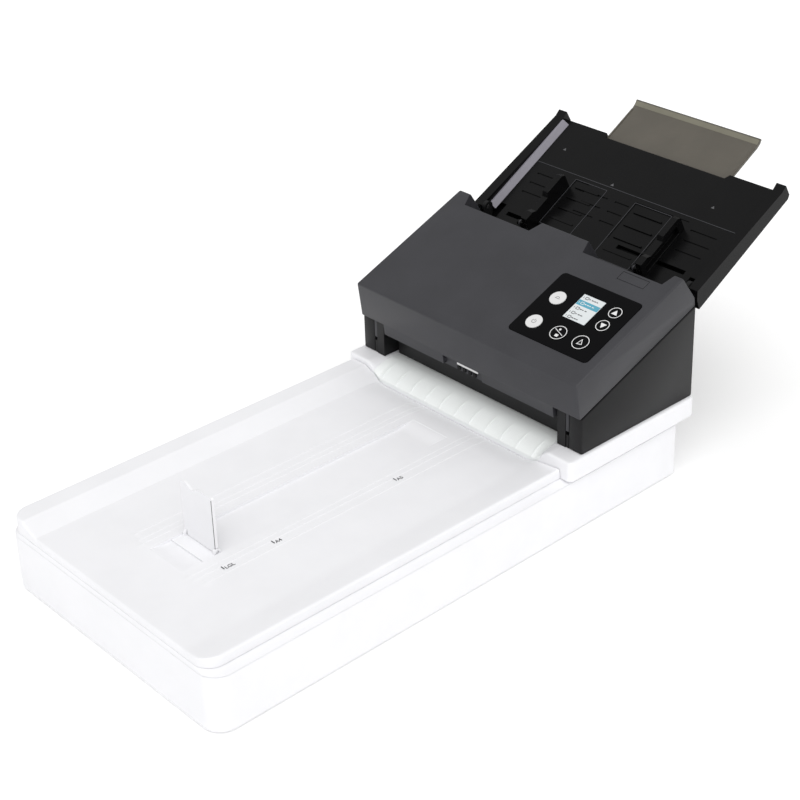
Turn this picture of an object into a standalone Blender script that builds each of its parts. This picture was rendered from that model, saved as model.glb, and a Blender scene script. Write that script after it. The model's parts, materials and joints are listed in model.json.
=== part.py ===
"""Document scanner with a flatbed base, a lid that is the output tray, and a sheet feeder.

Sizes are in millimetres, and become metres as each mesh is made.
X runs across the scanner, Y from its front to its back, and Z up.
Three sloping frames carry the feeder's pieces: its paper path, its cover and its input tray.
"""
import math

import bmesh
import bpy
from mathutils import Matrix, Vector

MM = 0.001
GAP = 0.3

# Base
BASE_WIDTH = 318.0
BASE_LENGTH = 590.0
BASE_BOTTOM = 2.0
SHOULDER_Z = 60.5
GLASS_FRAME_Z = 64.0
BASE_FRONT_RADIUS = 20.0
BASE_REAR_RADIUS = 8.0
WALL = 2.5
FOOT_RADIUS = 9.0
GLASS_HALF_WIDTH = 117.0
GLASS_FRONT = 56.0
GLASS_REAR = 372.0

# Lid, which is also the output tray
LID_LEFT = -155.0
LID_RIGHT = 149.0
LID_FRONT = 2.0
LID_REAR = 423.6
LID_BOTTOM = GLASS_FRAME_Z + GAP
LID_FLOOR = 71.0
LID_LEFT_TOP = 80.0
LID_RIGHT_TOP = 74.5
LID_PIVOT_X = -150.7
LID_PIVOT_Z = 68.6
LID_KNUCKLES = (62.0, 352.0)
CHANNEL_HALF_WIDTH = 25.0
CHANNEL_FRONT = 68.0
CHANNEL_REAR = 392.0
CHANNEL_FLOOR = 68.0
STOPPER_Y = 108.0
STOPPER_PIVOT_Z = 71.6
STOPPER_TOP = 129.0

# Sheet feeder
PLINTH_HALF_WIDTH = 162.0
PLINTH_FRONT = 424.3
PLINTH_REAR = 609.0
PLINTH_BOTTOM = 64.3
PLINTH_TOP = 85.0
RAMP_HALF_WIDTH = 122.0
RAMP_TOP = 84.0
FEEDER_HALF_WIDTH = 158.0
FEEDER_FRONT = 444.0
FEEDER_REAR = 609.0
FEEDER_BOTTOM = PLINTH_TOP + GAP
PARTING_FRONT_Z = 124.0
PARTING_REAR_Z = 187.0
LEG_INNER = 126.0
ARM_INNER = 137.0
ARM_OUTER = 140.7
COVER_PIVOT_Y = 452.0
COVER_PIVOT_Z = 108.0
COVER_FRONT_Y = 436.0
COVER_FRONT_Z = 164.0
COVER_REAR_Y = 588.0
COVER_REAR_Z = 224.0
COVER_HALF_WIDTH = 157.5
EXIT_EDGE_Z = 113.5

# Input tray
TRAY_Y = 614.1
TRAY_Z = 180.9
TRAY_TILT = math.radians(29.4)
TRAY_LENGTH = 156.0
TRAY_PIVOT_U = 11.0
TRAY_PIVOT_N = 15.7
EXTENSION_END = 212.0
EXTENSION_BOTTOM = 1.0
GUIDE_X = 77.0

# Flatbed's carriage drive, and the sockets in the rear wall: x, half width, half height
ROD_X, ROD_Z, ROD_RADIUS = -60.0, 26.0, 3.0
ROD_FRONT, ROD_REAR = 32.0, 416.0
PULLEY_X, PULLEY_Z, PULLEY_RADIUS = 40.0, 22.0, 6.0
MOTOR_PULLEY_Y, IDLER_Y = 404.0, 44.0
CARRIAGE_Y = 66.0
PORT_Z = 24.0
PORTS = {
    "power_inlet": (-96.0, 7.0, 6.0),
    "usb_port": (-66.0, 8.0, 6.5),
}

# Feeder's drive
PULLEY_SIDE = (-150.0, -143.0)
MOTOR_AXIS = (520.0, 108.0)
BELT_PULLEY_RADIUS = 5.0
MOTOR_PULLEY_RADIUS = 4.0

# Control panel: the keys' x, place up the cover, radius and finish
DISPLAY = ((81.0, 110.0), (66.0, 101.0))
KEYS = {
    "wake_button": (60.0, 83.5, 8.9, "button_white"),
    "power_button": (60.0, 47.0, 8.9, "button_white"),
    "mode_button": (93.6, 46.2, 9.5, "button_black"),
    "scan_button": (122.6, 46.5, 9.5, "button_black"),
    "up_button": (127.5, 93.7, 7.7, "button_black"),
    "down_button": (127.4, 74.3, 7.7, "button_black"),
}
LATCH = ((95.5, 130.0), (133.0, 144.5))

PATH_SLOPE = math.atan2(PARTING_REAR_Z - PARTING_FRONT_Z, FEEDER_REAR - FEEDER_FRONT)
COVER_SLOPE = math.atan2(COVER_REAR_Z - COVER_FRONT_Z, COVER_REAR_Y - COVER_FRONT_Y)
OVERALL_LENGTH = (
    TRAY_Y + EXTENSION_END * math.cos(TRAY_TILT) - EXTENSION_BOTTOM * math.sin(TRAY_TILT)
)

WORLD = Matrix.Identity(4)
PATH = Matrix.Translation((0, FEEDER_FRONT, PARTING_FRONT_Z)) @ Matrix.Rotation(PATH_SLOPE, 4, "X")
COVER = Matrix.Translation((0, COVER_FRONT_Y, COVER_FRONT_Z)) @ Matrix.Rotation(COVER_SLOPE, 4, "X")
TRAY = Matrix.Translation((0, TRAY_Y, TRAY_Z)) @ Matrix.Rotation(TRAY_TILT, 4, "X")

# Turning an outline's plane: its own X and Y axes become the two letters' axes.
PLANES = {
    "XY": Matrix.Identity(4),
    "XZ": Matrix(((1, 0, 0, 0), (0, 0, -1, 0), (0, 1, 0, 0), (0, 0, 0, 1))),
    "YZ": Matrix(((0, 0, 1, 0), (1, 0, 0, 0), (0, 1, 0, 0), (0, 0, 0, 1))),
}

# name: colour, roughness, metallic, alpha
FINISHES = {
    "white_plastic": ((0.86, 0.86, 0.88), 0.45, 0.0, 1.0),
    "ramp_plastic": ((0.80, 0.84, 0.83), 0.5, 0.0, 1.0),
    "slate_plastic": ((0.055, 0.056, 0.062), 0.5, 0.0, 1.0),
    "black_plastic": ((0.018, 0.018, 0.019), 0.45, 0.0, 1.0),
    "tray_plastic": ((0.012, 0.012, 0.013), 0.4, 0.0, 1.0),
    "smoked_plastic": ((0.24, 0.22, 0.18), 0.25, 0.0, 0.85),
    "panel_gloss": ((0.006, 0.006, 0.007), 0.12, 0.0, 1.0),
    "display": ((0.75, 0.80, 0.82), 0.15, 0.0, 1.0),
    "button_white": ((0.82, 0.82, 0.84), 0.35, 0.0, 1.0),
    "button_black": ((0.01, 0.01, 0.011), 0.2, 0.0, 1.0),
    "glass": ((0.75, 0.85, 0.82), 0.02, 0.0, 0.35),
    "rubber": ((0.03, 0.03, 0.032), 0.85, 0.0, 1.0),
    "steel": ((0.60, 0.60, 0.61), 0.3, 1.0, 1.0),
    "circuit_board": ((0.02, 0.13, 0.05), 0.5, 0.0, 1.0),
    "white_foam": ((0.9, 0.9, 0.9), 0.8, 0.0, 1.0),
    "gear_plastic": ((0.75, 0.74, 0.70), 0.5, 0.0, 1.0),
    "port_metal": ((0.55, 0.56, 0.58), 0.35, 1.0, 1.0),
}


def clear_scene():
    for obj in list(bpy.data.objects):
        bpy.data.objects.remove(obj)


def new_collection(name):
    collection = bpy.data.collections.new(name)
    bpy.context.scene.collection.children.link(collection)
    return collection


def material(name):
    found = bpy.data.materials.get(name)
    if found:
        return found
    colour, roughness, metallic, alpha = FINISHES[name]
    made = bpy.data.materials.new(name)
    made.use_nodes = True
    shader = made.node_tree.nodes["Principled BSDF"]
    shader.inputs["Base Color"].default_value = (*colour, 1.0)
    shader.inputs["Roughness"].default_value = roughness
    shader.inputs["Metallic"].default_value = metallic
    shader.inputs["Alpha"].default_value = alpha
    return made


def mesh_from(bm, frame, origin):
    """Finish a bmesh drawn in a frame's millimetres: metres, with its origin moved to a point."""
    bmesh.ops.transform(bm, matrix=frame, verts=bm.verts)
    bmesh.ops.translate(bm, vec=-Vector(origin), verts=bm.verts)
    bmesh.ops.scale(bm, vec=(MM, MM, MM), verts=bm.verts)
    bmesh.ops.recalc_face_normals(bm, faces=bm.faces)
    mesh = bpy.data.meshes.new("shape")
    bm.to_mesh(mesh)
    bm.free()
    return mesh


def place(name, mesh, collection, origin):
    obj = bpy.data.objects.new(name, mesh)
    collection.objects.link(obj)
    obj.parent = ROOT
    obj.location = Vector(origin) * MM
    return obj


def box_mesh(x, y, z):
    bm = bmesh.new()
    size = (x[1] - x[0], y[1] - y[0], z[1] - z[0])
    middle = ((x[0] + x[1]) / 2, (y[0] + y[1]) / 2, (z[0] + z[1]) / 2)
    matrix = Matrix.Translation(middle) @ Matrix.Diagonal((*size, 1))
    bmesh.ops.create_cube(bm, size=1, matrix=matrix)
    return bm


def rod_mesh(axis, centre, ends, radius, sides):
    """A cylinder along X, Y or Z. Its centre gives the other two coordinates."""
    bm = bmesh.new()
    turn = {
        "X": Matrix.Rotation(math.pi / 2, 4, "Y"),
        "Y": Matrix.Rotation(-math.pi / 2, 4, "X"),
        "Z": Matrix.Identity(4),
    }[axis]
    middle = list(centre)
    middle.insert("XYZ".index(axis), (ends[0] + ends[1]) / 2)
    bmesh.ops.create_cone(
        bm,
        cap_ends=True,
        segments=sides,
        radius1=radius,
        radius2=radius,
        depth=ends[1] - ends[0],
        matrix=Matrix.Translation(middle) @ turn,
    )
    return bm


def outline_mesh(outlines, plane, ends):
    """A flat outline, with any holes after it, given thickness across its plane."""
    curve = bpy.data.curves.new("outline", "CURVE")
    curve.dimensions = "2D"
    curve.fill_mode = "BOTH"
    curve.extrude = abs(ends[1] - ends[0]) / 2
    for points in outlines:
        spline = curve.splines.new("POLY")
        spline.points.add(len(points) - 1)
        for point, (u, v) in zip(spline.points, points):
            point.co = (u, v, 0, 1)
        spline.use_cyclic_u = True
    source = bpy.data.objects.new("outline", curve)
    bpy.context.scene.collection.objects.link(source)
    depsgraph = bpy.context.evaluated_depsgraph_get()
    flat = bpy.data.meshes.new_from_object(source.evaluated_get(depsgraph))
    bm = bmesh.new()
    bm.from_mesh(flat)
    bmesh.ops.remove_doubles(bm, verts=bm.verts, dist=0.0001)
    middle = (ends[0] + ends[1]) / 2 * (-1 if plane == "XZ" else 1)
    matrix = PLANES[plane] @ Matrix.Translation((0, 0, middle))
    bmesh.ops.transform(bm, matrix=matrix, verts=bm.verts)
    bpy.data.objects.remove(source)
    bpy.data.curves.remove(curve)
    bpy.data.meshes.remove(flat)
    return bm


def arc(centre, radius, start, stop, steps):
    """Points on an arc, its angles in degrees."""
    angles = [math.radians(start + (stop - start) * i / steps) for i in range(steps + 1)]
    return [(centre[0] + radius * math.cos(a), centre[1] + radius * math.sin(a)) for a in angles]


def round_rect(x, y, front_radius, rear_radius=None, steps=5):
    rear = front_radius if rear_radius is None else rear_radius
    corners = (
        (x[0] + front_radius, y[0] + front_radius, front_radius, 180),
        (x[1] - front_radius, y[0] + front_radius, front_radius, 270),
        (x[1] - rear, y[1] - rear, rear, 0),
        (x[0] + rear, y[1] - rear, rear, 90),
    )
    points = []
    for cx, cy, radius, start in corners:
        points += arc((cx, cy), radius, start, start + 90, steps)
    return points


def belt_loop(circles, offset):
    """The taut loop round some circles (u, v, radius), as the hull of their points."""
    points = []
    for u, v, radius in circles:
        points += arc((u, v), radius + offset, 0, 345, 23)
    points = sorted(set((round(u, 6), round(v, 6)) for u, v in points))
    halves = []
    for order in (points, points[::-1]):
        chain = []
        for p in order:
            while len(chain) > 1 and turn_of(chain[-2], chain[-1], p) <= 0:
                chain.pop()
            chain.append(p)
        halves += chain[:-1]
    return halves


def turn_of(a, b, c):
    return (b[0] - a[0]) * (c[1] - a[1]) - (b[1] - a[1]) * (c[0] - a[0])


class Piece:
    """One sub-part, with the shapes that are cut from it or joined to it."""

    def __init__(self, name, bm, finish, frame=WORLD, origin=(0, 0, 0)):
        self.name = name
        self.origin = origin
        self.obj = place(name, mesh_from(bm, frame, origin), PARTS, origin)
        self.obj.data.materials.append(material(finish))

    def _tool(self, bm, frame, operation):
        count = len(self.obj.modifiers)
        name = f"{self.name}_{operation.lower()}_{count}"
        tool = place(name, mesh_from(bm, frame, self.origin), TOOLS, self.origin)
        tool.hide_render = True
        tool.display_type = "WIRE"
        modifier = self.obj.modifiers.new(name, "BOOLEAN")
        modifier.operation = operation
        modifier.solver = "EXACT"
        modifier.object = tool

    def bevel(self, width, segments=2, angle=30):
        modifier = self.obj.modifiers.new("edges", "BEVEL")
        modifier.width = width * MM
        modifier.segments = segments
        modifier.limit_method = "ANGLE"
        modifier.angle_limit = math.radians(angle)
        return self

    def cut(self, bm, frame=WORLD):
        self._tool(bm, frame, "DIFFERENCE")
        return self

    def join(self, bm, frame=WORLD):
        self._tool(bm, frame, "UNION")
        return self

    def smooth(self):
        self.obj.data.shade_smooth()
        self.obj.data.set_sharp_from_angle(angle=math.radians(35))
        return self


def box(name, x, y, z, finish, frame=WORLD, origin=(0, 0, 0)):
    return Piece(name, box_mesh(x, y, z), finish, frame, origin)


def rod(name, axis, centre, ends, radius, finish, sides=24, frame=WORLD, origin=(0, 0, 0)):
    return Piece(name, rod_mesh(axis, centre, ends, radius, sides), finish, frame, origin).smooth()


def point_in(frame, x, u, n):
    return tuple(frame @ Vector((x, u, n)))


# ---------------------------------------------------------------- base

def base_housing():
    half = BASE_WIDTH / 2
    outer = round_rect((-half, half), (0, BASE_LENGTH), BASE_FRONT_RADIUS, BASE_REAR_RADIUS)
    inner = round_rect(
        (WALL - half, half - WALL),
        (WALL, BASE_LENGTH - WALL),
        BASE_FRONT_RADIUS - WALL,
        BASE_REAR_RADIUS - WALL,
    )
    top = SHOULDER_Z - GAP
    floor = BASE_BOTTOM + 3
    housing = Piece("base_housing", outline_mesh([outer], "XY", (BASE_BOTTOM, top)), "white_plastic")
    housing.cut(outline_mesh([inner], "XY", (floor, top + 5)))
    for y in (ROD_FRONT, ROD_REAR - 8):
        housing.join(box_mesh((ROD_X - 8, ROD_X + 8), (y, y + 8), (floor - 1, ROD_Z + 8)))
    reach = (ROD_FRONT - 2, ROD_REAR + 2)
    housing.cut(rod_mesh("Y", (ROD_X, ROD_Z), reach, ROD_RADIUS + GAP, 20))
    post = (PULLEY_X, IDLER_Y)
    housing.join(rod_mesh("Z", post, (floor - 1, PULLEY_Z - 4.5), 6, 20))
    housing.join(rod_mesh("Z", post, (floor, PULLEY_Z + 6), 1.5, 16))
    for x, width, height in PORTS.values():
        housing.cut(box_mesh((x - width, x + width), (580, 600), (PORT_Z - height, PORT_Z + height)))


def base_ports():
    for name, (x, width, height) in PORTS.items():
        w, h = width - GAP, height - GAP
        port = box(name, (x - w, x + w), (572, BASE_LENGTH - 0.5), (PORT_Z - h, PORT_Z + h), "port_metal")
        if name == "power_inlet":
            port.cut(rod_mesh("Y", (x, PORT_Z), (576, 600), 4.6, 20))
            port.join(rod_mesh("Y", (x, PORT_Z), (575, 587), 1.0, 12))
        else:
            port.cut(box_mesh((x - w + 1, x + w - 1), (576, 600), (PORT_Z - h + 1, PORT_Z + h - 1)))


def base_top_frame():
    """The bezel round the glass: a sloping shoulder outside and a ledge under the glass inside."""
    half = BASE_WIDTH / 2
    outer = round_rect((-half, half), (0, BASE_LENGTH), BASE_FRONT_RADIUS, BASE_REAR_RADIUS)
    frame = Piece("base_top_frame", outline_mesh([outer], "XY", (SHOULDER_Z, GLASS_FRAME_Z)), "white_plastic")
    for side in (-1, 1):
        shoulder = [
            (side * (half + 2), SHOULDER_Z),
            (side * (half - 11), GLASS_FRAME_Z),
            (side * (half - 11), GLASS_FRAME_Z + 2),
            (side * (half + 2), GLASS_FRAME_Z + 2),
        ]
        frame.cut(outline_mesh([shoulder], "XZ", (-2, PLINTH_FRONT)))
    glass = GLASS_HALF_WIDTH
    ledge = 6.0
    frame.join(box_mesh((-glass - 5, glass + 5), (GLASS_FRONT - 5, GLASS_REAR + 5), (57.5, 62)))
    frame.cut(box_mesh((-glass, glass), (GLASS_FRONT, GLASS_REAR), (60.5, 66)))
    frame.cut(
        box_mesh((-glass + ledge, glass - ledge), (GLASS_FRONT + ledge, GLASS_REAR - ledge), (50, 66))
    )
    for y in LID_KNUCKLES:
        ear = box_mesh((LID_PIVOT_X - 3.3, LID_PIVOT_X + 3.3), (y, y + 8), (62.5, LID_PIVOT_Z))
        frame.join(ear)
        frame.join(rod_mesh("Y", (LID_PIVOT_X, LID_PIVOT_Z), (y, y + 8), 3.3, 20))
        frame.cut(rod_mesh("Y", (LID_PIVOT_X, LID_PIVOT_Z), (y - 1, y + 9), 1.8, 16))


def flatbed_glass():
    glass = GLASS_HALF_WIDTH - GAP
    span = (GLASS_FRONT + GAP, GLASS_REAR - GAP)
    box("flatbed_glass", (-glass, glass), span, (60.8, GLASS_FRAME_Z - 0.2), "glass")


def base_feet():
    places = {
        "foot_front_left": (-130, 34),
        "foot_front_right": (130, 34),
        "foot_rear_left": (-130, 560),
        "foot_rear_right": (130, 560),
    }
    for name, centre in places.items():
        rod(name, "Z", centre, (0, BASE_BOTTOM - GAP), FOOT_RADIUS, "rubber")


def flatbed_drive():
    rod("guide_rod", "Y", (ROD_X, ROD_Z), (ROD_FRONT, ROD_REAR), ROD_RADIUS, "steel", sides=20)
    pulleys = [(PULLEY_X, MOTOR_PULLEY_Y, PULLEY_RADIUS), (PULLEY_X, IDLER_Y, PULLEY_RADIUS)]
    names = ("motor_pulley", "idler_pulley")
    for name, (x, y, radius) in zip(names, pulleys):
        ends = (PULLEY_Z - 4, PULLEY_Z + 4)
        pulley = rod(name, "Z", (x, y), ends, radius, "gear_plastic", origin=(x, y, PULLEY_Z))
        pulley.cut(rod_mesh("Z", (x, y), (PULLEY_Z - 6, PULLEY_Z + 6), 1.8, 16))
    inner = belt_loop(pulleys, GAP)
    outer = belt_loop(pulleys, GAP + 1.2)
    belt = outline_mesh([outer, inner], "XY", (PULLEY_Z - 3, PULLEY_Z + 3))
    Piece("drive_belt", belt, "rubber")
    motor = rod("carriage_motor", "Z", (PULLEY_X, MOTOR_PULLEY_Y), (5.3, PULLEY_Z - 4.5), 17, "steel")
    motor.join(rod_mesh("Z", (PULLEY_X, MOTOR_PULLEY_Y), (10, PULLEY_Z + 6), 1.5, 16))


def scan_carriage():
    """The carriage rides on the guide rod. Its arm stops beside the belt, with the clamp over it."""
    origin = (0, CARRIAGE_Y, ROD_Z)
    span = (CARRIAGE_Y, CARRIAGE_Y + 26)
    carriage = box("scan_carriage", (-118, 118), span, (34, 38), "black_plastic", origin=origin)
    carriage.join(box_mesh((ROD_X - 9, ROD_X + 9), span, (ROD_Z - 7, 35)))
    carriage.cut(rod_mesh("Y", (ROD_X, ROD_Z), (span[0] - 2, span[1] + 2), ROD_RADIUS + GAP, 20))
    belt_side = PULLEY_X - PULLEY_RADIUS - GAP
    clamp = (CARRIAGE_Y + 8, CARRIAGE_Y + 18)
    carriage.join(box_mesh((belt_side - 5, belt_side + 3.5), clamp, (PULLEY_Z + 3.4, 35)))
    for x in (-118, 114):
        carriage.join(box_mesh((x, x + 4), span, (37, 46)))
    sensor = (CARRIAGE_Y + 4, CARRIAGE_Y + 22)
    box("flatbed_sensor", (-111, 111), sensor, (38.3, 56.5), "black_plastic", origin=origin)


def main_board():
    board = box("main_board", (-120, 60), (480, 566), (8, 9.6), "circuit_board")
    for x, y, w, d, h in ((-60, 520, 18, 18, 2.5), (-10, 505, 10, 10, 2), (20, 540, 24, 10, 9)):
        board.join(box_mesh((x, x + w), (y, y + d), (9, 9.6 + h)))


# ---------------------------------------------------------------- lid and output tray

def lid_section():
    """The lid's cross-section: a tall flat band on the left, a low rounded rim on the right."""
    return (
        arc((LID_PIVOT_X, LID_PIVOT_Z), LID_PIVOT_Z - LID_BOTTOM, 270, 180, 4)
        + arc((LID_LEFT + 2, LID_LEFT_TOP - 2), 2, 180, 90, 3)
        + [(-134, LID_LEFT_TOP), (-112, LID_FLOOR), (118, LID_FLOOR)]
        + arc((LID_RIGHT - 3, LID_RIGHT_TOP - 3), 3, 100, 0, 3)
        + [(LID_RIGHT, LID_BOTTOM + 1), (LID_RIGHT - 1, LID_BOTTOM)]
    )


def lid_shell():
    hinge = (LID_PIVOT_X, LID_FRONT, LID_PIVOT_Z)
    section = outline_mesh([lid_section()], "XZ", (LID_FRONT, LID_REAR))
    lid = Piece("lid_shell", section, "white_plastic", origin=hinge)
    for side, x in ((-1, LID_LEFT), (1, LID_RIGHT)):
        corner = [(x + side, LID_FRONT - 1), (x - side * 18, LID_FRONT - 1)]
        corner += arc((x - side * 18, LID_FRONT + 18), 18, 270, 270 + side * 90, 6)
        corner += [(x + side, LID_FRONT + 18)]
        lid.cut(outline_mesh([corner], "XY", (60, 90)))
    pockets = (((-143, -30), 68.6), ((-31, 31), 66.8), ((30, 140), 68.6))
    for x, ceiling in pockets:
        lid.cut(box_mesh(x, (10, 414), (60, ceiling)))
    channel = (CHANNEL_FRONT, CHANNEL_REAR)
    side = CHANNEL_HALF_WIDTH
    lid.cut(outline_mesh([round_rect((-side, side), channel, 3)], "XY", (CHANNEL_FLOOR, 80)))
    lid.cut(box_mesh((-side - 1.5, side + 1.5), (80, CHANNEL_REAR - 8), (68.7, 69.8)))
    for y in LID_KNUCKLES:
        lid.cut(box_mesh((-158, LID_PIVOT_X + 5), (y - 1, y + 9), (60, LID_PIVOT_Z + 4.6)))
        lid.cut(rod_mesh("Y", (LID_PIVOT_X, LID_PIVOT_Z), (y - 8, y + 16), 1.8, 16))
    for y in LID_KNUCKLES:
        name = "lid_pin_front" if y < 200 else "lid_pin_rear"
        rod(name, "Y", (LID_PIVOT_X, LID_PIVOT_Z), (y - 7.5, y + 15.5), 1.5, "steel", sides=16)
    box("lid_backing_pad", (-112, 112), (58, 370), (LID_BOTTOM + 0.1, 66.5), "white_foam", origin=hinge)


def stopper():
    """A paper stop that slides in the lid's channel, and folds back flat into it."""
    origin = (0, STOPPER_Y, STOPPER_PIVOT_Z)
    side = CHANNEL_HALF_WIDTH - 0.4
    slider = box("stopper_slider", (-side, side), (92, 128), (68.3, 69.6), "white_plastic", origin=origin)
    slider.join(box_mesh((-side - 1.1, side + 1.1), (94, 126), (68.9, 69.55)))
    for x in (-24.2, 20.6):
        slider.join(box_mesh((x, x + 3.6), (104.5, 111.5), (69, STOPPER_PIVOT_Z)))
        slider.join(rod_mesh("X", (STOPPER_Y, STOPPER_PIVOT_Z), (x, x + 3.6), 3.5, 20))
    slider.cut(rod_mesh("X", (STOPPER_Y, STOPPER_PIVOT_Z), (-24.8, 24.8), 1.8, 16))
    half = 23.7
    dip, reach, depth = -7.0, 11.0, 5.0
    wave = [(half, STOPPER_TOP - 1.5), (half - 1.5, STOPPER_TOP - 0.1)]
    for i in range(9):
        turn = math.pi * (1 - i / 4)
        wave.append((dip + reach * turn / math.pi, STOPPER_TOP - depth * (1 + math.cos(turn)) / 2))
    wave += [(1.2 - half, STOPPER_TOP - 0.2), (-half, STOPPER_TOP - 1.5)]
    outline = wave + [(-half, 76), (-20, 75.3), (-20, 70.3), (20, 70.3), (20, 75.2), (half, 76.1)]
    thick = (STOPPER_Y - 1.25, STOPPER_Y + 1.25)
    plate = Piece("stopper_plate", outline_mesh([outline], "XZ", thick), "white_plastic", origin=origin)
    for ends in ((-23.5, -17), (17, 23.5)):
        plate.join(rod_mesh("X", (STOPPER_Y, STOPPER_PIVOT_Z), ends, 1.0, 16))


# ---------------------------------------------------------------- feeder body

def adf_plinth():
    half = PLINTH_HALF_WIDTH
    outline = round_rect((-half, half), (PLINTH_FRONT, PLINTH_REAR), 5)
    plinth = Piece("adf_plinth", outline_mesh([outline], "XY", (PLINTH_BOTTOM, PLINTH_TOP)), "white_plastic")
    plinth.cut(box_mesh((4 - half, half - 4), (480, PLINTH_REAR - 4), (60, PLINTH_TOP - 3)))
    reach = RAMP_HALF_WIDTH + GAP
    wedge = [(-reach - 8, 90), (-reach, PLINTH_BOTTOM - 1), (reach, PLINTH_BOTTOM - 1), (reach + 8, 90)]
    plinth.cut(outline_mesh([wedge], "XZ", (PLINTH_FRONT - 1, 470)))


def exit_ramp():
    """The ribbed ramp that lets sheets down from the feeder onto the lid."""
    reach = RAMP_HALF_WIDTH
    front = PLINTH_FRONT + 0.2
    surface = [(front, 71.0), (429, 74.9), (434, 77.8), (439, 80.1), (444, 81.8), (452, 83.2)]
    profile = [(front, PLINTH_BOTTOM + GAP)] + surface
    profile += [(469.5, RAMP_TOP), (469.5, RAMP_TOP - 2.5), (456, RAMP_TOP - 4), (440, 74)]
    profile.append((436, PLINTH_BOTTOM + GAP))
    ramp = Piece("exit_ramp", outline_mesh([profile], "YZ", (-reach, reach)), "ramp_plastic")
    rib = [(y + 0.3, z + 1.5 - 1.7 * i / 4) for i, (y, z) in enumerate(surface[:5])]
    rib += [(444, 79.5), (435, 75.5), (426.5, 69.5)]
    for i in range(11):
        x = (i - 5) * 22.0
        ramp.join(outline_mesh([rib], "YZ", (x - 0.7, x + 0.7)))


def side_profile(inset):
    return [
        (FEEDER_FRONT + inset, FEEDER_BOTTOM + inset),
        (FEEDER_REAR - inset, FEEDER_BOTTOM + inset),
        (FEEDER_REAR - inset, PARTING_REAR_Z - GAP - inset),
        (FEEDER_FRONT + inset, PARTING_FRONT_Z - GAP - inset),
    ]


def parting_z(y):
    return PARTING_FRONT_Z + (y - FEEDER_FRONT) * math.tan(PATH_SLOPE)


def tray_pivot():
    return point_in(TRAY, 0, TRAY_PIVOT_U, TRAY_PIVOT_N)


def adf_sides():
    pivot = tray_pivot()[1:]
    for side, name in ((-1, "adf_side_left"), (1, "adf_side_right")):
        ends = sorted((side * (ARM_OUTER + GAP), side * FEEDER_HALF_WIDTH))
        panel = Piece(name, outline_mesh([side_profile(0)], "YZ", ends), "black_plastic").bevel(1.5)
        pocket = sorted((side * (ARM_OUTER - 1), side * (FEEDER_HALF_WIDTH - WALL)))
        front, rear, low = 455.5, 604, FEEDER_BOTTOM + 3
        hollow = [(front, low), (rear, low), (rear, parting_z(rear) - 2.2), (front, parting_z(front) - 2.2)]
        panel.cut(outline_mesh([hollow], "YZ", pocket))
        arm = sorted((side * (ARM_OUTER + GAP), side * 145.6))
        lug = [(600, 150), (611, 152), (pivot[0] + 6, pivot[1] - 8), (pivot[0] + 6, pivot[1])]
        lug += [(pivot[0] - 5, pivot[1]), (pivot[0] - 5, 176), (600, 170)]
        panel.join(outline_mesh([lug], "YZ", arm))
        panel.join(rod_mesh("X", pivot, arm, 6, 24))
        panel.cut(rod_mesh("X", pivot, sorted((side * 139, side * 147)), 2.8, 20))
        pin_hole = sorted((side * 139, side * 152))
        panel.cut(rod_mesh("X", (COVER_PIVOT_Y, COVER_PIVOT_Z), pin_hole, 2.8, 20))


def adf_lower_frame():
    """Cheeks beside the paper path, joined by the rear wall."""
    reach = ARM_INNER - GAP
    frame = Piece("adf_lower_frame", outline_mesh([side_profile(0)], "YZ", (-reach, reach)), "black_plastic")
    frame.cut(box_mesh((-LEG_INNER, LEG_INNER), (430, FEEDER_REAR - 3), (80, 200)))
    frame.cut(box_mesh((-LEG_INNER, LEG_INNER), (-10, 190), (-2.4, 4)), PATH)
    for side in (-1, 1):
        hole = sorted((side * (LEG_INNER - 1), side * (reach + 1)))
        frame.cut(rod_mesh("X", (COVER_PIVOT_Y, COVER_PIVOT_Z), hole, 2.8, 20))
        for centre, *_ in SHAFTS.values():
            frame.cut(rod_mesh("X", centre, hole, 3.4, 20))
    frame.cut(rod_mesh("X", MOTOR_AXIS, (-138, -125), 2.4, 16))


def below_path(u, depth):
    return point_in(PATH, 0, u, -depth)[1:]


SHAFTS = {
    "feed": (below_path(124, 2.2 + 9), 10.0, (-22.0, 22.0), 24.0),
    "exit": (below_path(20, 2.2 + 7), 8.0, (-82.0, -30.0, 30.0, 82.0), 22.0),
}
PINCH = {
    "feed": (below_path(124, -1.5 - 8), 9.0, (-22.0, 22.0), 22.0),
    "exit": (below_path(20, -1.5 - 5), 6.0, (-82.0, -30.0, 30.0, 82.0), 20.0),
}


def rollers():
    """Driven shafts under the path and pinch shafts over it, each with its rubber tyres."""
    for name, (centre, radius, places, width) in SHAFTS.items():
        origin = (0, *centre)
        shaft = rod(f"{name}_roller", "X", centre, (-152, 134), 3, "rubber", sides=20, origin=origin)
        for x in places:
            shaft.join(rod_mesh("X", centre, (x - width / 2, x + width / 2), radius, 28))
        pulley = rod(
            f"{name}_pulley", "X", centre, PULLEY_SIDE, BELT_PULLEY_RADIUS, "gear_plastic", origin=origin
        )
        pulley.cut(rod_mesh("X", centre, (-160, -140), 3.3, 20))
    for name, (centre, radius, places, width) in PINCH.items():
        origin = (0, *centre)
        shaft = rod(f"{name}_pinch_roller", "X", centre, (-104, 104), 2, "rubber", sides=16, origin=origin)
        for x in places:
            shaft.join(rod_mesh("X", centre, (x - width / 2, x + width / 2), radius, 24))


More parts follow.
